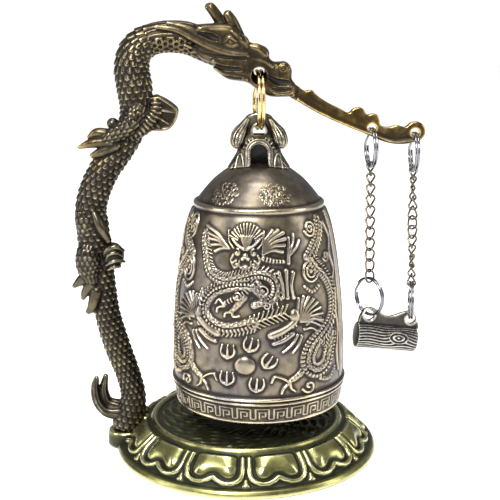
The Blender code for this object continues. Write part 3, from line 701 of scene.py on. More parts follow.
PETALS = 12
PETAL_COLUMNS = 64
PETAL_PITCH = 31.0 * 2 * math.pi / PETALS
PETAL_START = 28.3
PETAL_RIDGE = [(-7.2, -0.8), (-7.25, 2.4), (-7.2, 4.8), (-6.5, 6.7), (-4.9, 7.8), (-2.9, 7.9),
               (-1.3, 7.2), (0.0, 6.4)]
BOSS = (-34.6, 5.2, 4.8, 0.2)
SEAT_RADIUS = 5.0
SCREW_HOLE = 1.7
BASE_PROFILE = [(0.0, 8.8), (20.0, 8.8), (25.2, 8.8), (25.7, 9.3), (26.3, 9.7), (26.9, 9.5),
                (27.5, 8.7), (28.3, 8.2), (31.2, 6.0), (34.2, 2.9), (35.1, 2.3), (35.9, 2.2),
                (36.5, 2.0), (37.0, 1.2), (37.0, 0.5), (36.6, 0.0)]
BASE_UNDERSIDE = [(34.6, 0.0), (33.6, 1.0), (27.4, 6.1), (25.6, 7.0), (0.0, 7.0)]


def petal_relief(slope_length):
    """Height of one petal's tile: a heart-shaped ridge round a soft pad, and a tip between petals."""
    across = np.linspace(-0.5, 0.5, PETAL_COLUMNS, endpoint=False) * PETAL_PITCH
    canvas = new_canvas(across, slope_length)
    ridge = np.array(PETAL_RIDGE)
    ridge = np.vstack([ridge, ridge[-2::-1] * [-1, 1]])
    path = smooth_curve(ridge, 6)
    window, distance, _, side, _ = near(canvas, path, 60.0)
    edge = distance - 1.25
    pad = np.sqrt(np.clip(1 - (1 - np.clip(edge / 4.2, 0, 1)) ** 2, 0, 1))
    sunk = np.where(distance < 9.0, -0.35, 0.0) * (side < 0)
    canvas["height"] = sunk + np.where((side < 0) & (edge > 0), 1.55 * pad, 0.0)
    stroke(canvas, path, 0.78, 0.78, 0.95, curved=False)
    for side_sign in (-1, 1):
        edge_u = side_sign * PETAL_PITCH / 2
        stroke(canvas, [(edge_u, 6.6), (edge_u, 8.4)], 0.25, 0.95, 0.60, curved=False)
    fade = np.clip((slope_length + 0.1) / 0.8, 0, 1) * np.clip((9.2 - slope_length) / 0.5, 0, 1)
    return canvas["height"] * fade[:, None]


def disc_relief(radius, angle):
    """Waves and leaves in low relief on the sunk disc, as a height for each radius and angle."""
    wave = np.sin(angle * 18 + radius * 0.9) * np.sin(radius * 1.35 + 0.8 * np.sin(angle * 6))
    vein = np.cos(angle * 36 + radius * 2.1)
    inside = np.clip((24.6 - radius) / 0.8, 0, 1) * np.clip((radius - 11.0) / 4.0, 0, 1)
    return inside * (0.45 * np.clip(wave, 0, 1) ** 0.6 + 0.12 * vein)


def painted_base_shade(place):
    """Painted shade: the sunk disc, the rim and the boss are darker than the petals, all but the boss's top
    ring.
    """
    reach = np.hypot(place[:, 0], place[:, 1])
    boss = (np.hypot(place[:, 0] - BOSS[0], place[:, 1]) < BOSS[1] + 0.3) & (place[:, 0] < BOSS[0] + 3.0)
    share = np.where(reach < 25.0, 0.80, 1.0)
    share = np.where(reach > 35.2, 0.84, share)
    return np.where(boss & (place[:, 2] < BOSS[2] - 0.35), 0.47, share)


def make_base(materials):
    profile = evenly(np.array(BASE_PROFILE, float), 0.2)
    underside = evenly(np.array(BASE_UNDERSIDE, float), 0.8)
    columns = PETALS * PETAL_COLUMNS
    angle = np.linspace(0.0, 2 * math.pi, columns, endpoint=False) - math.pi / 2
    slope = lengths_along(profile)
    slope -= np.interp(PETAL_START, profile[:, 0], slope)
    tile = petal_relief(slope)
    lift = np.tile(tile, (1, PETALS))
    lift += disc_relief(profile[:, 0][:, None], angle[None, :])
    normal = outward(profile)
    radius = profile[:, :1] + lift * normal[:, :1]
    height = profile[:, 1:] + lift * np.abs(normal[:, 1:])
    radius = np.minimum(radius, BASE_RADIUS)
    x, y = radius * np.cos(angle), radius * np.sin(angle)
    boss_x, boss_radius, boss_top, boss_low = BOSS
    seated = np.hypot(x - boss_x, y) < SEAT_RADIUS
    height = np.where(seated, np.minimum(height, boss_top - 0.4), height)
    top = np.stack([x, y, height], axis=-1)
    low = np.stack([underside[:, :1] * np.cos(angle), underside[:, :1] * np.sin(angle),
                    underside[:, 1:] * np.ones_like(angle)], axis=-1)
    base = new_object("lotus_base", skin("lotus_base", np.concatenate([top, low])))
    boss_profile = [(SCREW_HOLE, boss_top), (boss_radius - 0.5, boss_top),
                    (boss_radius - 0.1, boss_top - 0.3), (boss_radius, boss_top - 0.8),
                    (boss_radius + 0.15, boss_low + 0.3), (boss_radius - 0.1, boss_low),
                    (3.5, boss_low), (3.5, 2.6), (SCREW_HOLE, 2.6)]
    boss = turned("boss", boss_profile, 64, 0.35, boss_x)
    carve(base, [shaft("bore", 3.4, 3.0, -1.0, 48, boss_x)])
    carve(base, [boss], "UNION")
    finish_piece(base, "stand", "base_brass", materials["base"], "base_dais", passes=40, depth=0.42,
                 shade=painted_base_shade)


# ---------------------------------------------------------------- bell

BELL_COLUMNS = 420
BELL_GIRTH = 22.0 * math.pi
FRONT_TURN = -10.0
DOME = [(1.7, 81.6), (5.0, 81.5), (8.2, 80.5), (11.2, 78.4), (12.9, 76.9), (15.2, 74.3),
        (16.7, 72.3), (17.3, 71.1)]
SIDE = [(17.4, 70.9), (18.0, 69.9), (18.7, 68.4), (19.6, 65.8), (20.3, 63.0), (21.4, 57.2),
        (22.2, 51.5), (22.9, 45.0), (23.4, 38.0), (23.7, 30.0), (23.8, 23.0), (23.5, 18.5), (23.0, 15.0)]
BELL_INSIDE = [(21.2, 15.0), (21.8, 22.0), (21.7, 30.0), (20.9, 45.0), (19.3, 57.0), (17.5, 66.0),
               (15.6, 71.0), (12.6, 75.0), (8.5, 78.2), (5.0, 79.8), (1.7, 79.8)]
# Rounded rings that stand out of the bell's side: height, half width, how far out.
BEADS = [(71.1, 0.75, 0.75), (21.9, 0.55, 0.85), (20.7, 0.50, 0.70), (15.5, 0.45, 0.25)]

UPPER_COIL = [(-13.4, 65.4), (-13.2, 62.6), (-12.2, 60.0), (-11.3, 57.2), (-9.6, 54.8), (-5.6, 53.5),
              (-1.0, 54.5), (3.4, 55.6), (6.8, 54.7), (8.1, 52.3), (7.4, 49.6), (5.6, 48.4)]
LOWER_COIL = [(2.6, 52.2), (-0.5, 52.3), (-4.2, 51.8), (-8.0, 50.2), (-10.6, 47.0), (-10.2, 43.8),
              (-7.8, 41.8), (-4.4, 41.2), (-0.8, 41.9), (2.4, 43.0)]
TAIL = [(1.0, 42.4), (4.0, 43.6), (7.0, 44.6), (10.2, 45.4)]
# Strokes: half width at the start and end, height, texture, then one or more paths.
COILS = [
    (1.1, 1.5, 1.00, "coil", UPPER_COIL),
    (1.2, 1.6, 1.10, "coil", LOWER_COIL),
    (1.1, 0.7, 1.00, "ribs", [(3.4, 53.2), (1.4, 52.0), (-0.2, 50.6), (-3.0, 48.9), (-5.4, 47.5)]),
    (1.1, 0.7, 0.95, "scales", [(-0.2, 49.6), (-1.8, 47.4), (-3.2, 45.8)]),
    (1.5, 1.0, 1.05, "scales", [(3.4, 51.6), (4.7, 50.2), (4.6, 48.4), (2.6, 47.6)]),
    (0.8, 0.5, 0.80, "ribs", [(5.0, 59.6), (7.6, 58.9), (10.4, 58.6)]),
    (0.35, 0.30, 0.80, None, TAIL),
]
FRONT_LINES = [
    (0.46, 0.55, 0.85, None, [(-3.9, 64.4), (-2.2, 62.9), (-0.4, 61.9)]),
    (0.38, 0.34, 0.75, None, [(-5.2, 66.4), (-4.7, 63.8), (-3.4, 62.2)]),
    (0.38, 0.30, 0.70, None, [(-3.4, 60.4), (-3.9, 59.0), (-2.8, 57.0)]),
    (0.30, 0.25, 0.55, None, [(-1.6, 58.8), (-1.5, 57.6), (-0.4, 56.6)]),
]
CLAW_STROKES = [
    (0.48, 0.28, 0.85, None,
     [(-5.2, 47.3), (-6.8, 48.6), (-7.6, 47.4)],
     [(-5.2, 47.0), (-6.9, 46.4), (-7.2, 45.2)],
     [(-3.2, 45.6), (-4.7, 45.2), (-5.0, 44.2)],
     [(-3.0, 45.4), (-2.6, 44.4), (-1.2, 44.6)]),
    (0.60, 0.48, 0.85, None,
     [(9.0, 55.6), (9.8, 52.6), (10.0, 49.8)],
     [(11.0, 56.0), (11.0, 53.0), (11.1, 49.8)],
     [(12.9, 55.5), (12.2, 52.6), (12.6, 49.5)]),
    (0.55, 0.40, 0.80, None, [(11.8, 58.2), (12.0, 61.0), (12.3, 64.6)]),
    (0.50, 0.34, 0.80, None,
     [(12.2, 61.0), (13.4, 63.2), (13.9, 65.4)],
     [(12.3, 60.4), (14.4, 62.0), (15.6, 63.8)]),
]
# The profile dragon at the right, mirrored for the one at the left.
SIDE_BODY = [(18.6, 58.2), (20.0, 56.2), (22.8, 53.8), (25.0, 50.6), (25.8, 46.6), (24.8, 42.4),
             (21.4, 39.2), (17.8, 36.6), (15.9, 33.0), (16.4, 29.6), (19.4, 27.9), (22.8, 29.2),
             (24.6, 33.0), (26.0, 37.0)]
SIDE_TAIL = [(24.4, 68.0), (22.6, 64.6), (20.0, 61.6), (17.6, 59.2)]
SIDE_LINES = [
    (1.5, 1.2, 1.00, "coil", SIDE_TAIL),
    (1.1, 2.0, 1.15, "coil", SIDE_BODY),
    (1.1, 0.85, 1.05, None, [(6.9, 39.5), (9.0, 40.3), (11.0, 41.4), (12.8, 42.8)]),
    (0.6, 0.75, 0.80, None, [(7.4, 37.3), (9.8, 38.1), (12.2, 39.6)]),
    (0.42, 0.26, 0.65, None,
     [(13.6, 39.2), (12.2, 36.9), (9.6, 34.8)],
     [(14.8, 38.8), (13.8, 36.4), (12.2, 34.4)],
     [(16.2, 41.6), (18.6, 42.6), (21.6, 41.2)],
     [(15.6, 40.4), (17.8, 40.4), (19.8, 39.0)]),
    (1.1, 0.7, 1.00, "scales", [(16.2, 30.6), (13.8, 28.2), (11.4, 26.8)]),
    (0.50, 0.30, 0.80, None,
     [(11.2, 26.6), (9.4, 27.9), (7.6, 28.4), (6.8, 26.8)],
     [(11.2, 26.4), (9.8, 25.0), (9.3, 23.6)],
     [(11.4, 26.2), (11.8, 24.8), (12.8, 23.9)]),
    (0.50, 0.35, 0.65, None,
     [(27.0, 67.0), (28.6, 63.0), (27.2, 59.0), (28.6, 55.0), (27.6, 52.0)],
     [(28.6, 49.0), (28.0, 43.0), (28.9, 38.0), (27.8, 32.0), (28.8, 26.0)]),
    (0.80, 0.40, 0.80, "ribs", [(20.6, 26.0), (23.8, 25.2), (26.6, 27.6)]),
    (0.80, 0.45, 0.80, "ribs", [(20.4, 36.6), (22.4, 34.2), (21.6, 31.4)]),
    (0.70, 0.40, 0.75, "ribs", [(20.8, 51.2), (18.6, 50.0), (16.2, 51.6)]),
    (0.36, 0.36, 0.45, None, [(30.6, 69.5), (30.6, 23.6)]),
    (0.26, 0.26, 0.35, None, [(31.8, 69.5), (31.8, 23.6)]),
]
# The pearl's flames: across, up, tilt.
FLAMES = [(-4.0, 34.7, 0), (1.7, 36.9, -14), (6.0, 32.4, -34), (-4.1, 27.4, 0), (3.2, 26.0, -6)]
MANE_TIPS = [(14.2, 48.8), (15.7, 49.1), (17.2, 48.8), (18.7, 48.0), (20.0, 46.9), (21.0, 45.4),
             (21.6, 43.7), (21.7, 41.9), (20.9, 40.4)]


def draw_front_head(canvas):
    """The dragon's face seen from the front, with a fan of mane and two wing-like fins."""
    for degrees in range(18, 163, 12):
        c, s = math.cos(math.radians(degrees)), math.sin(math.radians(degrees))
        root, tip = (2.7 * c + 0.2, 63.4 + 2.4 * s), (5.1 * c + 0.2, 63.6 + 4.7 * s)
        stroke(canvas, [root, tip], 0.25, 0.42, 0.60, curved=False)
    for u in np.linspace(-1.5, 1.5, 5):
        stroke(canvas, [(u + 0.2, 65.1), (0.2 + u * 0.25, 62.5)], 0.55, 0.45, 0.70, curved=False)
    for side in (-1, 1):
        curl(canvas, (2.4 * side, 61.0), 1.05, 1.0, side, 90.0, 0.30, 0.70)
        dot(canvas, (2.4 * side, 61.0), 0.48, 0.80)
        dot(canvas, (0.75 * side, 59.5), 0.62, 0.80)
        curl(canvas, (2.5 * side, 57.9), 1.05, 1.2, -side, 90.0, 0.36, 0.65)
        draw_lines(canvas, FRONT_LINES, (side, 1))
    dot(canvas, (0.0, 60.2), 0.85, 1.0, 1.1)
    dot(canvas, (0.0, 57.3), 1.2, 0.6, 0.55)
    fan(canvas, (-4.6, 62.0), [(-13.2, 66.9), (-12.9, 65.3), (-11.8, 63.9), (-10.4, 62.4), (-9.0, 60.9)],
        0.38, 0.55, 0.70, -0.08)
    fan(canvas, (4.7, 60.6), [(7.6, 66.6), (9.3, 66.6), (10.8, 65.9), (11.3, 64.4), (10.9, 62.8),
                              (10.2, 61.2)], 0.38, 0.55, 0.70, 0.14)


def draw_pearl(canvas):
    """A flaming pearl between the dragons, with five forked flames round it."""
    dot(canvas, (0.3, 31.4), 2.6, 1.25)
    for u, v, tilt in FLAMES:
        c, s = math.cos(math.radians(tilt)), math.sin(math.radians(tilt))
        turned_back = np.array([[c, s], [-s, c]])
        for bow in (-1, 0, 1):
            prong = np.array([(0.0, -1.5), (1.25 * bow, -0.8), (1.75 * bow, 0.5), (1.45 * bow, 2.0)])
            stroke(canvas, prong @ turned_back + [u, v], 0.58, 0.14, 0.85)


def draw_side_dragon(canvas, side):
    """A dragon in profile whose head faces the pearl."""
    flip = np.array([side, 1])
    draw_lines(canvas, SIDE_LINES, flip)
    fan(canvas, np.array((14.4, 42.6)) * flip, np.array(MANE_TIPS) * flip, 0.36, 0.46, 0.70, 0.08 * side)
    dot(canvas, (13.0 * side, 44.3), 1.45, 1.15, 1.35)
    dot(canvas, (6.9 * side, 39.6), 0.95, 1.0)
    curl(canvas, (12.3 * side, 41.6), 0.85, 1.0, side, 0.0, 0.26, 0.95)
    for step in range(5):
        dot(canvas, ((7.6 + 0.9 * step) * side, 38.6 + 0.28 * step), 0.30, 0.65, 1.4)
    fringe(canvas, np.array(SIDE_BODY) * flip, 1.9 * side, 0.9 * side, 1.0, 0.75)
    fringe(canvas, np.array(SIDE_TAIL) * flip, 1.4 * side, 0.8 * side, 1.0, 0.70)
    for step in range(6):
        stroke(canvas, np.array([(14.2 + 0.9 * step, 43.4), (15.6 + 1.1 * step, 45.2 - 0.5 * step)]) * flip,
               0.30, 0.22, 0.55, curved=False)
    if side > 0:
        curl(canvas, (20.0, 66.4), 2.2, 1.9, 1, 200.0, 0.44, 0.75)
    else:
        cloud(canvas, (-20.2, 66.2), 2.2, 1.4)
    cloud(canvas, (18.6 * side, 55.4), 2.5, 1.1 if side > 0 else 1.4, 0.70)
    curl(canvas, (16.8 * side, 24.6), 1.9, 1.2, side, 200.0, 0.46, 0.70)
    curl(canvas, (25.2 * side, 58.4), 1.5, 1.5, side, 200.0, 0.38, 0.65)


def draw_key_band(canvas):
    """A running key pattern round the lip, with a square curl inside each step."""
    count = 15
    pitch = BELL_GIRTH / count
    low, tall = 16.5, 2.9
    steps = [(0.0, 0.0), (0.14, 0.0), (0.14, 1.0), (0.86, 1.0), (0.86, 0.0), (1.0, 0.0)]
    inner = [(0.34, 0.02), (0.34, 0.68), (0.68, 0.68), (0.68, 0.26), (0.51, 0.26)]
    for step in range(count):
        left = -BELL_GIRTH / 2 + pitch * step
        for path in (steps, inner):
            points = [(left + pitch * u, low + tall * v) for u, v in path]
            stroke(canvas, points, 0.22, 0.22, 0.34, curved=False)


def draw_medallions(canvas, slant, middle):
    """Two round granular medallions on the dome, one with a crescent."""
    dome = new_canvas(canvas["across"] * 14.5 / 22.0, slant)
    rng = np.random.default_rng(7)
    for centre, crescent in ((-7.4, False), (6.9, True)):
        for _ in range(120):
            reach, turn = 4.1 * math.sqrt(rng.uniform(0, 1)), rng.uniform(0, 2 * math.pi)
            u, v = centre + reach * math.cos(turn), middle + 0.85 * reach * math.sin(turn)
            curl(dome, (u, v), rng.uniform(0.25, 0.45), 0.8, rng.choice((-1, 1)), rng.uniform(0, 360),
                 0.13, 0.20)
        if crescent:
            curl(dome, (centre + 1.0, middle), 1.5, 0.8, 1, 60.0, 0.30, 0.40)
            dot(dome, (centre + 1.2, middle + 0.2), 0.6, 0.40)
        else:
            bow = [(centre - 2.0, middle - 1.6), (centre - 0.6, middle), (centre + 1.6, middle + 1.8)]
            stroke(dome, bow, 0.35, 0.30, 0.38)
    return dome["height"]


def bell_relief(slant, heights):
    """All of the relief on one half of the bell, for rows at these slant lengths and heights."""
    across = np.linspace(-0.5, 0.5, BELL_COLUMNS, endpoint=False) * BELL_GIRTH
    canvas = new_canvas(across, np.where(heights < RELIEF_TOP, heights, OFF_BELL + slant))
    draw_lines(canvas, COILS + CLAW_STROKES)
    fringe(canvas, UPPER_COIL, 1.35, 0.8, 0.95, 0.75)
    fringe(canvas, LOWER_COIL, -1.5, -0.8, 0.95, 0.75)
    fringe(canvas, TAIL, 0.2, 1.7, 1.15, 0.80, both=True)
    fringe(canvas, [(-12.4, 50.6), (-13.6, 47.6), (-13.0, 44.6)], 0.0, 1.5, 0.9, 0.55)
    for u, v, radius in ((4.8, 51.2, 1.5), (-1.6, 49.6, 1.2), (5.6, 47.4, 1.1)):
        curl(canvas, (u, v), radius, 1.3, -1, 120.0, 0.30, 1.15)
    for u, v in ((9.0, 55.8), (11.0, 56.2), (12.9, 55.6), (9.8, 49.5), (11.1, 49.3), (12.8, 49.2)):
        dot(canvas, (u, v), 0.66, 0.85)
    draw_front_head(canvas)
    draw_pearl(canvas)
    for side in (-1, 1):
        draw_side_dragon(canvas, side)
    draw_key_band(canvas)
    middle = np.interp(ROUNDEL_HEIGHT, heights[::-1], slant[::-1])
    medallions = draw_medallions(canvas, slant, middle)
    return canvas["height"] + np.where(heights[:, None] > DOME_START, medallions, 0.0)


def make_bell(materials):
    outside = np.vstack([smooth_curve(DOME, 8), smooth_curve(SIDE, 8)])
    outside = evenly(outside, 0.19)
    slant = lengths_along(outside)
    heights = outside[:, 1]
    lift = np.tile(bell_relief(slant, heights), (1, 2)) * 0.78
    for centre, half, out in BEADS:
        lift += out * np.sqrt(np.clip(1 - ((heights - centre) / half) ** 2, 0, 1))[:, None]
    normal = outward(outside)
    radius = outside[:, :1] + lift * normal[:, :1]
    height = outside[:, 1:] + lift * normal[:, 1:]
    inside = evenly(smooth_curve(BELL_INSIDE, 6), 1.2)
    radius = np.vstack([radius, np.repeat(inside[:, :1], radius.shape[1], axis=1)])
    height = np.vstack([height, np.repeat(inside[:, 1:], height.shape[1], axis=1)])
    half_turn = np.linspace(-0.5, 0.5, BELL_COLUMNS, endpoint=False) * math.pi
    angle = np.concatenate([half_turn, half_turn + math.pi]) + math.radians(FRONT_TURN)
    points = np.stack([BELL_X + radius * np.sin(angle), -radius * np.cos(angle), height], axis=-1)
    bell = new_object("bell_shell", skin("bell_shell", points, ring=True))
    finish_piece(bell, "bell", "bell_metal", materials["bell"], "bell_body", passes=34, depth=0.52)


# ---------------------------------------------------------------- crown

CROWN_FRONT = [(76.0, 9.3), (78.2, 9.3), (80.4, 8.7), (82.6, 7.3), (84.4, 6.2), (86.9, 5.5), (88.3, 5.0),
               (89.7, 4.4), (91.2, 3.8), (92.4, 3.7), (93.6, 3.8), (94.4, 3.5), (95.0, 2.6), (95.2, 1.6)]
CROWN_SIDE = [(76.0, 6.5), (78.4, 6.4), (82.0, 5.6), (86.0, 4.5), (88.6, 3.3), (90.0, 1.6), (96.0, 1.5)]
CROWN_SQUARE = 0.72
CROWN_HOLE = (90.4, 1.7)
NICHE = (2.4, 87.3, 2.7)


def on_crown(points, side):
    """Across and up points laid on the crown's front or back face."""
    laid = []
    for across, up in points:
        half = np.interp(up, *zip(*CROWN_FRONT))
        cosine = min(abs(across) / half, 0.98) ** (1 / CROWN_SQUARE)
        depth = np.interp(up, *zip(*CROWN_SIDE)) * (1 - cosine ** 2) ** (CROWN_SQUARE / 2)
        laid.append((BELL_X + across, side * depth, up))
    return laid


def crown_lobe(side, hand):
    """A drooping lobe with grooves that run down it, at the left or right of the crown."""
    rows = [(BELL_X + hand * 3.1, side * 1.0, 93.6, 0.7), (BELL_X + hand * 4.3, side * 1.9, 91.6, 1.2),
            (BELL_X + hand * 5.6, side * 2.7, 89.5, 1.75), (BELL_X + hand * 6.15, side * 3.2, 87.7, 1.7),
            (BELL_X + hand * 6.1, side * 3.4, 86.6, 1.1)]
    return bar("lobe", rows, 0.2, sides=64, blunt=0.6,
               pattern=lambda s, a, r: -0.28 * np.clip(np.cos(a * 11), 0, 1) * np.clip(r - 0.6, 0, 1))


def crown_motifs(side):
    """Raised lines on one face: the niche's border, arches beside it, and a scroll."""
    made = []
    for gap, wire in ((0.45, 0.30), (1.05, 0.22)):
        half = NICHE[0] + gap
        spring = NICHE[1] - NICHE[0]
        arch = [(-half, 81.5), (-half, 83.2), (-half, spring)]
        arch += [(half * math.cos(t), spring + (half + 0.1) * math.sin(t)) for t in np.linspace(2.7, 0.44, 6)]
        arch += [(half, spring), (half, 83.2), (half, 81.5)]
        made.append([(*p, wire) for p in on_crown(arch, side)])
    for hand in (-1, 1):
        arch = [(6.5, 80.4), (6.1, 82.4), (5.6, 84.0), (5.0, 84.6), (4.5, 83.8), (4.2, 82.0), (4.1, 80.2)]
        made.append([(*p, 0.26) for p in on_crown([(hand * u, v) for u, v in arch], side)])
        hook = [(5.5, 84.9), (5.9, 83.6), (6.5, 82.2), (7.3, 81.2), (7.7, 80.2)]
        made.append([(*p, 0.24) for p in on_crown([(hand * u, v) for u, v in hook], side)])
    for degrees in (20, 35, 50, 65, 115, 130, 145, 160):
        c, s = math.cos(math.radians(degrees)), math.sin(math.radians(degrees))
        spring = NICHE[1] - NICHE[0]
        notch = [(reach * c, spring + reach * s) for reach in np.add(NICHE[0], (1.1, 1.6, 2.1))]
        made.append([(*p, 0.20) for p in on_crown(notch, side)])
    return [bar("motif", rows, 0.2, sides=10) for rows in made]


def painted_niche_shade(place):
    """Painted shade: the arched niches are darker inside."""
    across = np.abs(place[:, 0] - BELL_X)
    deep = np.abs(place[:, 1]) < np.interp(place[:, 2], *zip(*CROWN_SIDE)) - 0.5
    return np.where((across < NICHE[0] + 0.05) & (place[:, 2] < NICHE[1] + 0.1) & deep, 0.35, 1.0)


def make_crown(materials):
    heights = np.arange(76.0, 95.2, 0.3)
    columns = np.linspace(0.0, 2 * math.pi, 96, endpoint=False)
    half = np.interp(heights, *zip(*CROWN_FRONT))[:, None]
    depth = np.interp(heights, *zip(*CROWN_SIDE))[:, None]
    c, s = np.cos(columns), np.sin(columns)
    points = np.stack([BELL_X + half * np.sign(c) * np.abs(c) ** CROWN_SQUARE,
                       depth * np.sign(s) * np.abs(s) ** CROWN_SQUARE,
                       heights[:, None] * np.ones_like(c)], axis=-1)
    shapes = [skin("crown_body", points)]
    up, hole = CROWN_HOLE
    for side in (-1, 1):
        shapes += [crown_lobe(side, hand) for hand in (-1, 1)]
        shapes += crown_motifs(side)
        shapes.append(hoop((BELL_X, side * 1.45, up), 2.1, 0.42))
    crown = melt("bell_cap", shapes, 0.14)
    width, top, web = NICHE
    cutters = [peg("ring_hole", (BELL_X, 0.0, up), hole, 2.1, 0.25)]
    for side in (-1, 1):
        arch = [(BELL_X - width, 76.5), (BELL_X - width, top - width)]
        arch += [(BELL_X + width * math.cos(t), top - width + width * math.sin(t))
                 for t in np.linspace(2.8, 0.34, 7)]
        arch += [(BELL_X + width, top - width), (BELL_X + width, 76.5)]
        cutters.append(slab("niche", arch, 3.0, 0.2, centre_y=side * (web + 3.0)))
    seat = [(0.001, 81.9), (5.0, 81.9), (8.4, 80.8), (11.4, 78.6), (13.1, 77.2), (15.6, 74.5),
            (16.9, 72.5), (16.9, 60.0), (0.001, 60.0)]
    cutters.append(turned("seat", seat, 96, None, BELL_X))
    cutters.append(shaft("thread", SCREW_HOLE, 86.8, 70.0, 32, BELL_X))
    carve(crown, cutters)
    finish_piece(crown, "bell", "crown_silver", materials["crown"], "bell_crown", passes=26, depth=0.26,
                 shade=painted_niche_shade)


# ---------------------------------------------------------------- dragon stand

# The body's middle line from foot to neck: across, up, half width.
BODY_ROUTE = [
    (-34.3, 5.1, 4.3), (-33.7, 8.0, 4.2), (-32.7, 12.0, 3.6), (-32.6, 16.1, 3.3),
    (-34.1, 22.1, 3.3), (-36.2, 28.1, 3.5), (-38.0, 34.1, 3.5), (-39.3, 39.9, 3.4),
    (-40.0, 45.8, 3.4), (-40.9, 51.5, 3.8), (-42.0, 58.0, 4.3), (-42.5, 64.0, 4.3),
    (-42.8, 69.0, 4.1), (-41.4, 74.4, 4.1), (-38.6, 80.0, 4.0), (-34.9, 85.2, 4.0),
    (-31.4, 90.4, 3.7), (-29.8, 96.0, 4.1), (-30.0, 102.0, 4.6), (-30.6, 107.0, 4.5),
    (-29.6, 111.4, 4.3), (-26.4, 114.2, 4.1), (-21.5, 115.4, 4.1), (-15.5, 115.0, 4.2),
    (-10.0, 112.6, 4.0), (-5.0, 110.2, 3.6),
]
BODY_DEPTH_SCALE = 0.9
MANE_START = (-26.5, 112.0)
HEAD = [(-13.5, 118.6), (-9.0, 118.9), (-4.4, 118.8), (-2.2, 117.6), (-0.3, 115.3), (1.2, 113.9),
        (3.6, 113.4), (5.4, 112.6), (6.2, 111.4), (6.2, 110.0), (7.4, 108.9), (9.8, 108.9), (11.4, 108.2),
        (12.2, 106.6), (12.2, 104.4), (13.4, 102.6), (13.2, 100.0), (11.0, 99.7), (7.0, 99.7),
        (4.8, 100.5), (2.7, 101.8), (0.5, 103.4), (-2.1, 103.9), (-4.9, 104.4), (-7.4, 106.2),
        (-9.0, 108.4), (-13.0, 110.8)]
TONGUE = [(10.6, 104.0), (13.8, 102.5), (15.6, 101.2), (17.6, 101.4), (19.2, 99.9), (22.1, 98.0),
          (25.4, 96.4), (27.6, 95.3), (28.8, 96.4), (30.4, 96.8), (31.8, 96.2), (32.7, 94.8), (34.2, 95.1),
          (35.8, 94.5), (36.5, 91.9), (38.6, 91.5), (40.8, 92.0), (43.0, 91.5), (44.6, 92.7), (46.6, 92.9),
          (48.1, 91.9), (48.6, 90.2), (48.0, 88.6), (46.6, 87.6), (41.9, 86.8), (37.5, 87.5),
          (32.9, 89.4), (27.9, 91.5), (23.0, 93.5), (19.1, 95.4), (14.5, 98.0), (10.5, 100.6)]
PAW = [(-26.5, 99.6), (-23.2, 99.6), (-19.0, 96.8), (-18.3, 95.2), (-19.7, 91.9), (-22.2, 90.5),
       (-26.0, 90.8), (-28.0, 93.0), (-28.0, 98.0)]
PAW_FOLDS = [
    [(-25.6, 2.0, 99.2), (-23.0, 2.2, 99.2), (-19.3, 2.1, 96.8), (-18.8, 2.1, 95.0), (-20.0, 2.1, 92.2),
     (-22.2, 2.1, 91.0), (-25.4, 2.1, 91.2)],
    [(-24.6, 2.8, 96.4), (-21.8, 2.7, 96.0), (-19.2, 2.1, 95.6)],
    [(-24.6, 2.8, 95.0), (-22.4, 2.6, 93.6), (-20.6, 2.1, 92.4)],
    [(-25.0, 2.8, 94.0), (-24.2, 2.6, 92.6), (-23.2, 2.1, 91.4)],
]
# Smooth bars that taper: across, out, up, radius for each point.
LIMBS = [
    [(-4.0, 0.0, 115.5, 1.7), (-7.0, 0.0, 119.8, 1.5), (-9.2, 0.0, 122.8, 1.35), (-9.8, 0.0, 123.1, 1.1)],
    [(-2.0, -1.0, 115.0, 1.9), (-3.6, -1.2, 119.0, 1.6), (-4.7, -1.2, 121.0, 1.3)],
    [(-2.0, -3.2, 115.6, 0.9), (-0.6, -3.4, 114.4, 1.3), (0.2, -3.4, 113.0, 1.0)],
    [(1.2, -3.4, 112.9, 0.9), (3.2, -3.6, 112.4, 1.2), (5.0, -3.4, 110.9, 1.2)],
    [(-36.0, -3.0, 89.6, 1.6), (-40.0, -3.0, 90.2, 1.3), (-42.2, -2.8, 89.0, 0.6)],
    [(-36.0, -3.6, 88.0, 1.6), (-41.5, -3.4, 87.4, 1.3), (-45.0, -3.0, 86.2, 0.5)],
    [(-35.0, -3.4, 86.6, 1.5), (-39.0, -3.2, 85.0, 1.4), (-41.6, -2.8, 84.0, 0.7)],
    [(-41.8, -3.2, 69.3, 0.5), (-40.0, -3.8, 65.0, 1.3), (-37.8, -3.4, 60.8, 1.0)],
    [(-44.0, -2.0, 50.5, 2.1), (-46.2, -2.0, 48.8, 1.4), (-47.9, -1.8, 47.4, 0.7)],
    [(-43.0, -2.2, 48.0, 1.9), (-44.8, -2.2, 45.6, 1.3), (-45.5, -2.0, 44.0, 0.7)],
    [(-41.5, -2.4, 46.0, 1.9), (-42.8, -2.6, 41.8, 1.6), (-44.1, -2.4, 40.2, 0.9)],
]
SCALY_LIMBS = [
    [(-29.0, -2.0, 96.0, 2.9), (-31.0, -3.2, 92.5, 2.8), (-34.5, -3.4, 90.0, 2.4),
     (-37.0, -3.2, 88.4, 2.0)],
    [(-44.0, -0.8, 70.0, 2.4), (-44.2, -1.4, 66.0, 2.8), (-43.6, -1.0, 61.0, 2.4)],
    [(-42.8, -1.2, 59.5, 2.6), (-43.4, -1.7, 56.6, 3.6), (-43.4, -1.7, 53.0, 3.7),
     (-42.8, -1.7, 50.0, 2.8)],
]
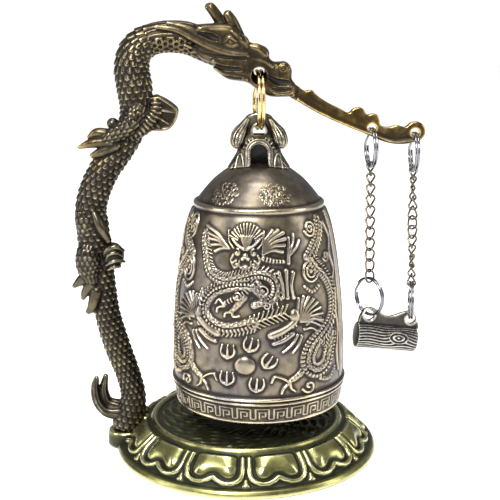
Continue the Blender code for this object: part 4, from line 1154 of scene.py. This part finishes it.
KNEE_LIDS = [
    [(-39.4, -2.6, 54.6, 0.5), (-38.6, -3.8, 57.6, 0.75), (-36.0, -4.2, 59.0, 0.80),
     (-33.9, -3.0, 57.8, 0.6)],
    [(-38.8, -3.6, 55.0, 0.4), (-37.6, -4.5, 56.9, 0.55), (-35.8, -4.5, 57.4, 0.55),
     (-34.2, -3.6, 56.4, 0.4)],
    [(-38.6, -3.6, 53.8, 0.4), (-36.8, -4.4, 54.9, 0.60), (-34.8, -3.9, 55.2, 0.55),
     (-33.6, -2.8, 54.6, 0.4)],
    [(-38.2, -3.2, 52.4, 0.4), (-36.4, -3.8, 53.3, 0.55), (-34.8, -3.2, 53.4, 0.45)],
]
GROOVED_LIMBS = [
    [(-35.5, -0.4, 9.5, 2.5), (-40.0, -0.6, 10.0, 1.9), (-42.6, -0.6, 13.0, 1.6), (-43.3, -0.6, 17.0, 1.3),
     (-42.8, -0.6, 19.8, 0.8)],
    [(-36.5, 0.4, 11.0, 2.1), (-39.8, 0.4, 12.4, 1.6), (-41.0, 0.4, 16.0, 1.4), (-40.3, 0.4, 20.2, 0.8)],
    [(-31.5, 0.0, 9.5, 1.9), (-28.9, -0.2, 10.2, 1.2)],
]
# Smooth raised strips on both faces of the head: across, up, radius, with their distance out.
HEAD_STRIPS = [
    (3.3, [(-20.5, 118.9, 0.5), (-15.5, 117.6, 0.9), (-11.0, 115.3, 1.1), (-7.4, 113.5, 0.9),
           (-5.6, 112.8, 0.5)]),
    (3.9, [(-16.0, 113.3, 0.35), (-11.0, 111.3, 0.40), (-6.0, 109.7, 0.40), (-1.0, 109.1, 0.35)]),
    (3.9, [(-3.6, 116.8, 0.4), (-1.8, 115.2, 0.5), (-1.0, 113.0, 0.45), (-1.6, 111.9, 0.35)]),
    (3.6, [(-6.6, 117.2, 0.4), (-6.9, 115.6, 0.5), (-6.0, 114.2, 0.35)]),
    (3.9, [(1.6, 109.9, 0.4), (4.6, 109.2, 0.45), (7.0, 107.6, 0.45)]),
    (3.9, [(-23.5, 118.0, 0.55), (-18.5, 117.2, 0.8), (-14.0, 115.0, 0.9), (-9.5, 112.8, 0.95),
           (-4.5, 111.2, 0.9), (0.4, 110.6, 0.7)]),
    (4.0, [(-5.6, 114.2, 0.4), (-4.2, 115.3, 0.6), (-2.6, 114.4, 0.5)]),
    (4.0, [(-5.4, 113.4, 0.35), (-3.6, 112.9, 0.5), (-2.0, 113.4, 0.35)]),
    (3.9, [(-8.2, 107.4, 0.5), (-5.4, 105.6, 0.6), (-2.2, 104.8, 0.6), (0.2, 104.4, 0.5)]),
    (3.7, [(-8.6, 109.2, 0.5), (-5.8, 108.0, 0.6), (-2.6, 107.6, 0.5), (-0.2, 107.8, 0.4)]),
    (3.7, [(-7.6, 107.9, 0.4), (-5.0, 106.9, 0.5), (-2.0, 106.3, 0.4)]),
    (3.7, [(7.2, 104.6, 0.5), (9.4, 103.4, 0.5), (11.8, 102.6, 0.6)]),
    (3.6, [(7.4, 101.0, 0.6), (9.6, 100.6, 0.7), (12.0, 101.0, 0.6)]),
]
HEAD_GROOVES = [
    [(6.4, 104.8, 0.7), (8.6, 103.7, 1.0), (11.8, 103.5, 0.8)],
    [(-9.6, 108.4, 0.5), (-6.0, 107.4, 0.7), (-1.5, 107.0, 0.6)],
    [(-12.4, 116.4, 0.5), (-9.4, 115.6, 0.9), (-7.6, 114.9, 0.7)],
    [(-2.9, 118.2, 0.4), (-1.2, 116.2, 0.6), (-0.4, 114.4, 0.4)],
    [(-14.0, 112.1, 0.4), (-8.0, 110.5, 0.5), (0.0, 109.9, 0.5)],
    [(-8.4, 105.6, 0.3), (-5.0, 104.9, 0.5), (-1.4, 104.6, 0.4)],
    [(7.0, 101.9, 0.3), (9.4, 101.5, 0.5), (12.2, 101.8, 0.4)],
]
HOLES = [(3.5, 106.5, 1.45, 1.5), (34.1, 91.2, 1.2, 1.1), (45.8, 90.0, 1.2, 1.1)]
KNEE = (-37.0, -1.8, 56.2)


def at_depth(rows, out):
    """Rows of across, up and radius, laid at a distance out."""
    return [(across, out, up, radius) for across, up, radius in rows]


def scaly(size, depth):
    """A pattern of overlapping scales whose tips point back down the path."""
    def pattern(distance, angle, radius):
        count = np.round(2 * math.pi * radius.mean() / size)
        return depth * (scales(-distance / size, angle / (2 * math.pi) * count) - 0.5)
    return pattern


def pits(along, around):
    """A staggered field of round pits, one unit apart: 0 between them and 1 at their middles."""
    row = np.floor(along)
    x = np.mod(around + 0.5 * np.mod(row, 2), 1.0) - 0.5
    return np.clip(1 - (x ** 2 + (along - row - 0.5) ** 2) / 0.13, 0.0, 1.0)


def body_pattern(mane_start):
    """Scales along the body, which give way behind the head to hair above and pits below."""
    def pattern(distance, angle, radius):
        hair = -0.30 * np.abs(np.sin(angle * 9 + 0.25 * np.sin(distance * 0.6)))
        round_pits = -0.75 * pits(distance / 1.6, angle * 4.0 / 1.6)
        mane = np.where(np.cos(angle) < 0.0, hair, round_pits) + 0.15
        share = np.clip((distance - mane_start) / 2.0, 0.0, 1.0)
        return scaly(1.75, 0.95)(distance, angle, radius) * (1 - share) + mane * share
    return pattern


def comb(distance, angle, radius):
    """Ribs across a limb, like a comb."""
    return 0.28 * np.clip(np.cos(distance * 2 * math.pi / 1.15), -0.6, 0.6)


def grooves(distance, angle, radius):
    """Grooves that run down a limb."""
    return -0.22 * np.clip(np.cos(angle * 9), 0, 1) * np.clip(radius, 0, 1)


def spiral(tilt, spin):
    """Ridges that wind in to the front of a ball."""
    front = np.arccos(np.clip(-np.sin(tilt) * np.sin(spin), -1, 1))
    return 0.07 * np.cos(front * 13)


def ring_slot(side):
    """The curved way that the bell ring takes down one side of the jaw, with room to sway."""
    angle = np.radians(np.linspace(22.0, 80.0, 30))
    path = np.stack([np.full(30, RING_X), side * BELL_RING_RADIUS * np.sin(angle),
                     RING_HEIGHT + BELL_RING_RADIUS * np.cos(angle)], axis=1)
    return sweep("ring_slot", path, RING_SLOT_RADIUS, 32)


def golden_head(place):
    """The tongue is the most golden, the head less so, and the body hardly at all."""
    high = np.clip((place[:, 2] - 86.0) / 6.0, 0.0, 1.0)
    claws = np.clip((-38.0 - place[:, 0]) / 4.0, 0.0, 1.0) * (place[:, 2] > 80.0) * 0.5
    along = np.interp(place[:, 0], [-32.0, -12.0, 8.0, 16.0], [0.0, 0.35, 0.45, 1.0])
    return np.clip(along * high + claws, 0, 1)


def make_dragon(materials):
    route = evenly(smooth_curve(BODY_ROUTE), 0.22)
    path = np.stack([route[:, 0], np.zeros(len(route)), route[:, 1]], axis=1)
    in_mane = (route[:, 0] > MANE_START[0]) & (route[:, 1] > MANE_START[1])
    mane_start = 0.22 * np.argmax(in_mane)
    shapes = [sweep("body", path, route[:, 2], 128, flat=BODY_DEPTH_SCALE, blunt=0.3,
                    pattern=body_pattern(mane_start))]
    shapes.append(slab("head", HEAD, 4.2, 2.2, 6))
    shapes.append(slab("tongue", TONGUE, 1.0, 0.45))
    shapes.append(slab("right_paw", PAW, 2.2, 0.9))
    shapes += [bar("limb", rows, 0.3, sides=24) for rows in LIMBS]
    shapes += [bar("scaly_limb", rows, 0.2, sides=72, pattern=scaly(1.35, 0.55)) for rows in SCALY_LIMBS]
    shapes += [bar("grooved_limb", rows, 0.25, sides=72, pattern=grooves) for rows in GROOVED_LIMBS]
    shapes.append(ball("knee", KNEE, (3.3, 2.8, 3.7)))
    shapes += [bar("lid", rows, 0.3, sides=14) for rows in KNEE_LIDS]
    shapes.append(ball("knob", (-35.9, -1.6, 92.5), (1.6, 1.6, 1.6)))
    for side in (-1, 1):
        shapes.append(ball("nostril", (9.9, side * 3.2, 107.2), (1.9, 1.3, 1.7), pattern=spiral))
        shapes.append(ball("eye", (-4.0, side * 3.9, 114.0), (0.9, 0.5, 0.6)))
        for out, rows in HEAD_STRIPS:
            shapes.append(bar("strip", at_depth(rows, side * out), 0.25, sides=12))
        low = [(14.0, 98.9), (20.0, 95.5), (28.0, 91.9), (34.0, 89.7), (40.0, 87.7), (46.0, 88.1)]
        shapes.append(bar("tongue_edge", [(u, side * 0.9, v, 0.5) for u, v in low], 0.3, sides=12))
        arm = [(-33.2, side * 2.7, 89.2, 1.7), (-29.6, side * 2.5, 90.3, 2.0),
               (-26.6, side * 2.1, 92.4, 2.1), (-24.4, side * 1.6, 95.6, 2.2),
               (-24.2, side * 1.2, 98.4, 1.8)]
        shapes.append(bar("arm", arm, 0.15, sides=40, pattern=comb))
        for fold in PAW_FOLDS:
            shapes.append(bar("fold", [(u, side * y, v, 0.42) for u, y, v in fold], 0.3, sides=10))
    stand = melt("dragon", shapes, 0.2)
    cutters = []
    for side in (-1, 1):
        cutters.append(ring_slot(side))
        for rows in HEAD_GROOVES:
            cutters.append(bar("groove", at_depth(rows, side * 4.3), 0.3, sides=14))
    cutters += [peg("ring_hole", (x, 0.0, z), radius, half + 0.5, 0.3) for x, z, radius, half in HOLES]
    cutters.append(block("foot_trim", (-48.0, -8.0, 0.0), (-24.0, 8.0, FOOT)))
    cutters.append(shaft("thread", SCREW_HOLE, 10.5, 4.0, 32, BOSS[0]))
    carve(stand, cutters)
    finish_piece(stand, "stand", "stand_bronze", materials["stand"], "dragon_stand",
                 passes=18, depth=0.34)
    mark_gilt(stand, golden_head)


# ---------------------------------------------------------------- rings and chains

RING_RADIUS = 5.2
RING_WIRE = 0.33
# The four small split rings: node, body, middle, yaw.
SMALL_RINGS = [
    ("left_top_ring", "left_top_ring", (34.1, 0.0, 85.85), 8.0),
    ("right_top_ring", "right_top_ring", (45.8, 0.0, 84.65), 2.0),
    ("left_bottom_ring", "left_chain", (34.5, -1.0, 44.25), 38.0),
    ("right_bottom_ring", "right_chain", (46.5, 0.9, 42.65), -6.0),
]
BELL_RING_YAW = 5.0
CROSSING = 40.0
TURN_SPACING = 1.09
LINK_WIRE = 0.29
LINK_END_RADIUS = 1.2
LINK_CENTRES = 1.26
CHAINS = [("left", 11, 8.0, -6.0), ("right", 12, 2.0, 23.8)]


def split_ring_path(radius, spacing, steps=120):
    """Two turns side by side that cross over once."""
    degrees = np.linspace(0.0, 720.0 - CROSSING, 2 * steps + 1)
    across = np.clip((degrees - (360.0 - CROSSING)) / CROSSING, 0.0, 1.0)
    side = across * across * (3 - 2 * across) - 0.5
    angle = np.radians(degrees + CROSSING)
    return np.stack([side * spacing, radius * np.cos(angle), radius * np.sin(angle)], axis=1)


def turned_about_z(points, degrees, centre):
    """Points turned about the vertical and then moved to a place."""
    c, s = math.cos(math.radians(degrees)), math.sin(math.radians(degrees))
    return points @ np.array([[c, s, 0.0], [-s, c, 0.0], [0.0, 0.0, 1.0]]) + np.asarray(centre, float)


def make_ring(name, body, centre, radius, wire, yaw, slot, material):
    """One split ring of two turns."""
    path = turned_about_z(split_ring_path(radius, 2 * wire * TURN_SPACING), yaw, centre)
    ring = new_object(name + "_wire", sweep(name, path, wire, 14, blunt=0.15))
    finish_piece(ring, body, slot, material, name, passes=4, depth=0.1)


def make_rings(materials):
    make_ring("bell_ring", "bell_ring", (RING_X, 0.0, RING_HEIGHT), BELL_RING_RADIUS, BELL_RING_WIRE,
              BELL_RING_YAW, "ring_gold", materials["gold"])
    for name, body, centre, yaw in SMALL_RINGS:
        make_ring(name, body, centre, RING_RADIUS, RING_WIRE, yaw, "ring_nickel", materials["nickel"])


def link_path(turn, steps=16):
    """A long link whose lower end is turned a quarter further about Z than its upper end."""
    half, reach = LINK_CENTRES / 2, LINK_CENTRES / 2 + LINK_END_RADIUS
    path = []
    for end in (1, -1):
        for angle in np.linspace(0.0, math.pi, steps + 1):
            across = end * LINK_END_RADIUS * math.cos(angle)
            up = end * (half + LINK_END_RADIUS * math.sin(angle))
            along = (reach - up) / (2 * reach)
            spin = math.radians(turn + 90 * along * along * (3 - 2 * along))
            path.append((across * math.cos(spin), across * math.sin(spin), up))
    return np.array(path)


def make_chains(materials):
    for side, count, yaw, twist in CHAINS:
        for index in range(count):
            name = f"{side}_link_{index + 1:02d}"
            low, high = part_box(name)
            path = link_path(yaw + twist * index) + np.array((low + high) / 2) / MM
            link = new_object(name + "_wire", sweep(name, path, LINK_WIRE, 12, closed=True))
            finish_piece(link, f"{side}_chain", "chain_nickel", materials["chain"], name,
                         passes=4, depth=0.08)


# ---------------------------------------------------------------- striker

LEFT_EAR = np.array((34.5, -1.0, 38.9))
RIGHT_EAR = np.array((46.5, 0.9, 37.3))
EAR_HEIGHT = 6.0
STRIKER_YAW = 9.0
STRIKER_TILT = 7.6
FLANGE = [(-9.0, 3.0), (-8.7, 5.7), (-7.0, 7.9), (-5.2, 8.1), (-3.6, 7.5), (-0.4, 6.1), (3.8, 7.7),
          (5.6, 8.1), (7.2, 7.7), (8.4, 5.5), (8.6, 3.0), (4.0, 2.2), (-4.0, 2.2)]


def wood_grain(distance, angle, radius):
    """Grain that runs along the log and loops round a knot."""
    around = angle * 3.6
    knot_x, knot_a = distance - 11.6, around - 3.6 * 4.5
    bend = np.exp(-(knot_x ** 2 / 9.0 + knot_a ** 2 / 4.0))
    wave = around * 1.15 + 0.35 * np.sin(distance * 0.55) + 1.6 * bend
    rings = np.hypot(knot_x * 0.55, knot_a) * 1.25
    grain = np.cos(2 * math.pi * np.where(bend > 0.42, rings, wave))
    return 0.26 * np.clip(grain, -0.5, 0.7)


def striker_place():
    """Where the striker hangs: a matrix in metres."""
    middle = Vector((LEFT_EAR + RIGHT_EAR) / 2)
    yaw = Matrix.Rotation(math.radians(STRIKER_YAW), 4, "Z")
    tilt = Matrix.Rotation(math.radians(STRIKER_TILT), 4, "Y")
    down = Matrix.Translation((0.0, 0.0, -EAR_HEIGHT * MM))
    return Matrix.Translation(middle * MM) @ yaw @ tilt @ down


def make_striker(materials):
    path = np.stack([np.linspace(-9.0, 8.3, 110), np.zeros(110), np.zeros(110)], axis=1)
    log = sweep("log", path, 3.45, 120, blunt=0.06, pattern=wood_grain)
    shapes = [log, slab("flange", FLANGE, 0.72, 0.3)]
    half_span = float(np.linalg.norm(RIGHT_EAR - LEFT_EAR)) / 2
    ears = [(-half_span, 0.0, EAR_HEIGHT), (half_span, 0.0, EAR_HEIGHT)]
    shapes += [hoop((across, out, up), COLLAR_RADIUS, 0.3) for across, _, up in ears for out in (-0.5, 0.5)]
    striker = melt("log_striker", shapes, 0.14)
    carve(striker, [peg("ear_hole", ear, EAR_HOLE, 1.3, 0.65) for ear in ears])
    striker.data.transform(striker_place())
    finish_piece(striker, "striker", "striker_iron", materials["striker"], "striker",
                 passes=24, depth=0.16)


# ---------------------------------------------------------------- fasteners, stage, light and camera


def dress_fasteners(materials):
    """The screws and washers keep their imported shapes."""
    for name in ("stand_screw", "stand_washer", "crown_screw", "crown_washer"):
        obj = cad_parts[name]
        obj.data.materials.clear()
        obj.data.materials.append(materials["steel"])


def make_floor():
    """A wide pale floor just under the base."""
    shape = bmesh.new()
    bmesh.ops.create_grid(shape, x_segments=2, y_segments=2, size=3.0)
    floor = new_object("floor", mesh_from("floor", shape))
    floor.location.z = -0.02 * MM
    material = bpy.data.materials.new("floor")
    material.use_nodes = True
    shader = material.node_tree.nodes["Principled BSDF"]
    shader.inputs["Base Color"].default_value = (0.97, 0.97, 0.97, 1.0)
    shader.inputs["Roughness"].default_value = 0.9
    shader.inputs["Specular IOR Level"].default_value = 0.1
    floor.data.materials.append(material)


def make_world():
    """A white room, whose mirror image in the metal is darker, most of all low down."""
    world = bpy.data.worlds.new("studio")
    bpy.context.scene.world = world
    world.use_nodes = True
    tree = world.node_tree
    white = tree.nodes["Background"]
    white.inputs["Color"].default_value = (1.0, 1.0, 1.0, 1.0)
    white.inputs["Strength"].default_value = ROOM_STRENGTH
    room = node(tree, "ShaderNodeBackground")
    direction = node(tree, "ShaderNodeTexCoord").outputs["Generated"]
    split = node(tree, "ShaderNodeSeparateXYZ")
    tree.links.new(direction, split.inputs["Vector"])
    upper = scaled(tree, split.outputs["Z"], -0.1, 0.9, MIRRORED_LOW, MIRRORED_HIGH)
    tree.links.new(upper, room.inputs["Strength"])
    mix = node(tree, "ShaderNodeMixShader")
    tree.links.new(node(tree, "ShaderNodeLightPath").outputs["Is Glossy Ray"], mix.inputs[0])
    tree.links.new(white.outputs[0], mix.inputs[1])
    tree.links.new(room.outputs[0], mix.inputs[2])
    tree.links.new(mix.outputs[0], tree.nodes["World Output"].inputs["Surface"])


def make_lights():
    """Softboxes in front, above and at both sides."""
    for name, place, size, watts in LIGHTS:
        light = bpy.data.lights.new(name, "AREA")
        light.shape = "RECTANGLE"
        light.size, light.size_y = size
        light.energy = watts
        lamp = new_object(name, light)
        lamp.location = place
        aim = Vector(LIGHT_TARGET) - Vector(place)
        lamp.rotation_euler = aim.to_track_quat("-Z", "Y").to_euler()


def make_camera():
    camera = bpy.data.cameras.new("camera")
    camera.lens = LENS
    camera.sensor_width = SENSOR
    camera.clip_start = 0.01
    camera.clip_end = 20.0
    viewer = new_object("camera", camera)
    viewer.location = CAMERA_PLACE
    viewer.rotation_euler = (math.radians(90.0 - CAMERA_PITCH), 0.0, 0.0)
    bpy.context.scene.camera = viewer


bpy.context.scene.view_settings.view_transform = "Standard"
make_camera()
make_floor()
make_world()
make_lights()
finishes = make_materials()
make_base(finishes)
make_bell(finishes)
make_crown(finishes)
make_dragon(finishes)
make_rings(finishes)
make_chains(finishes)
make_striker(finishes)
dress_fasteners(finishes)
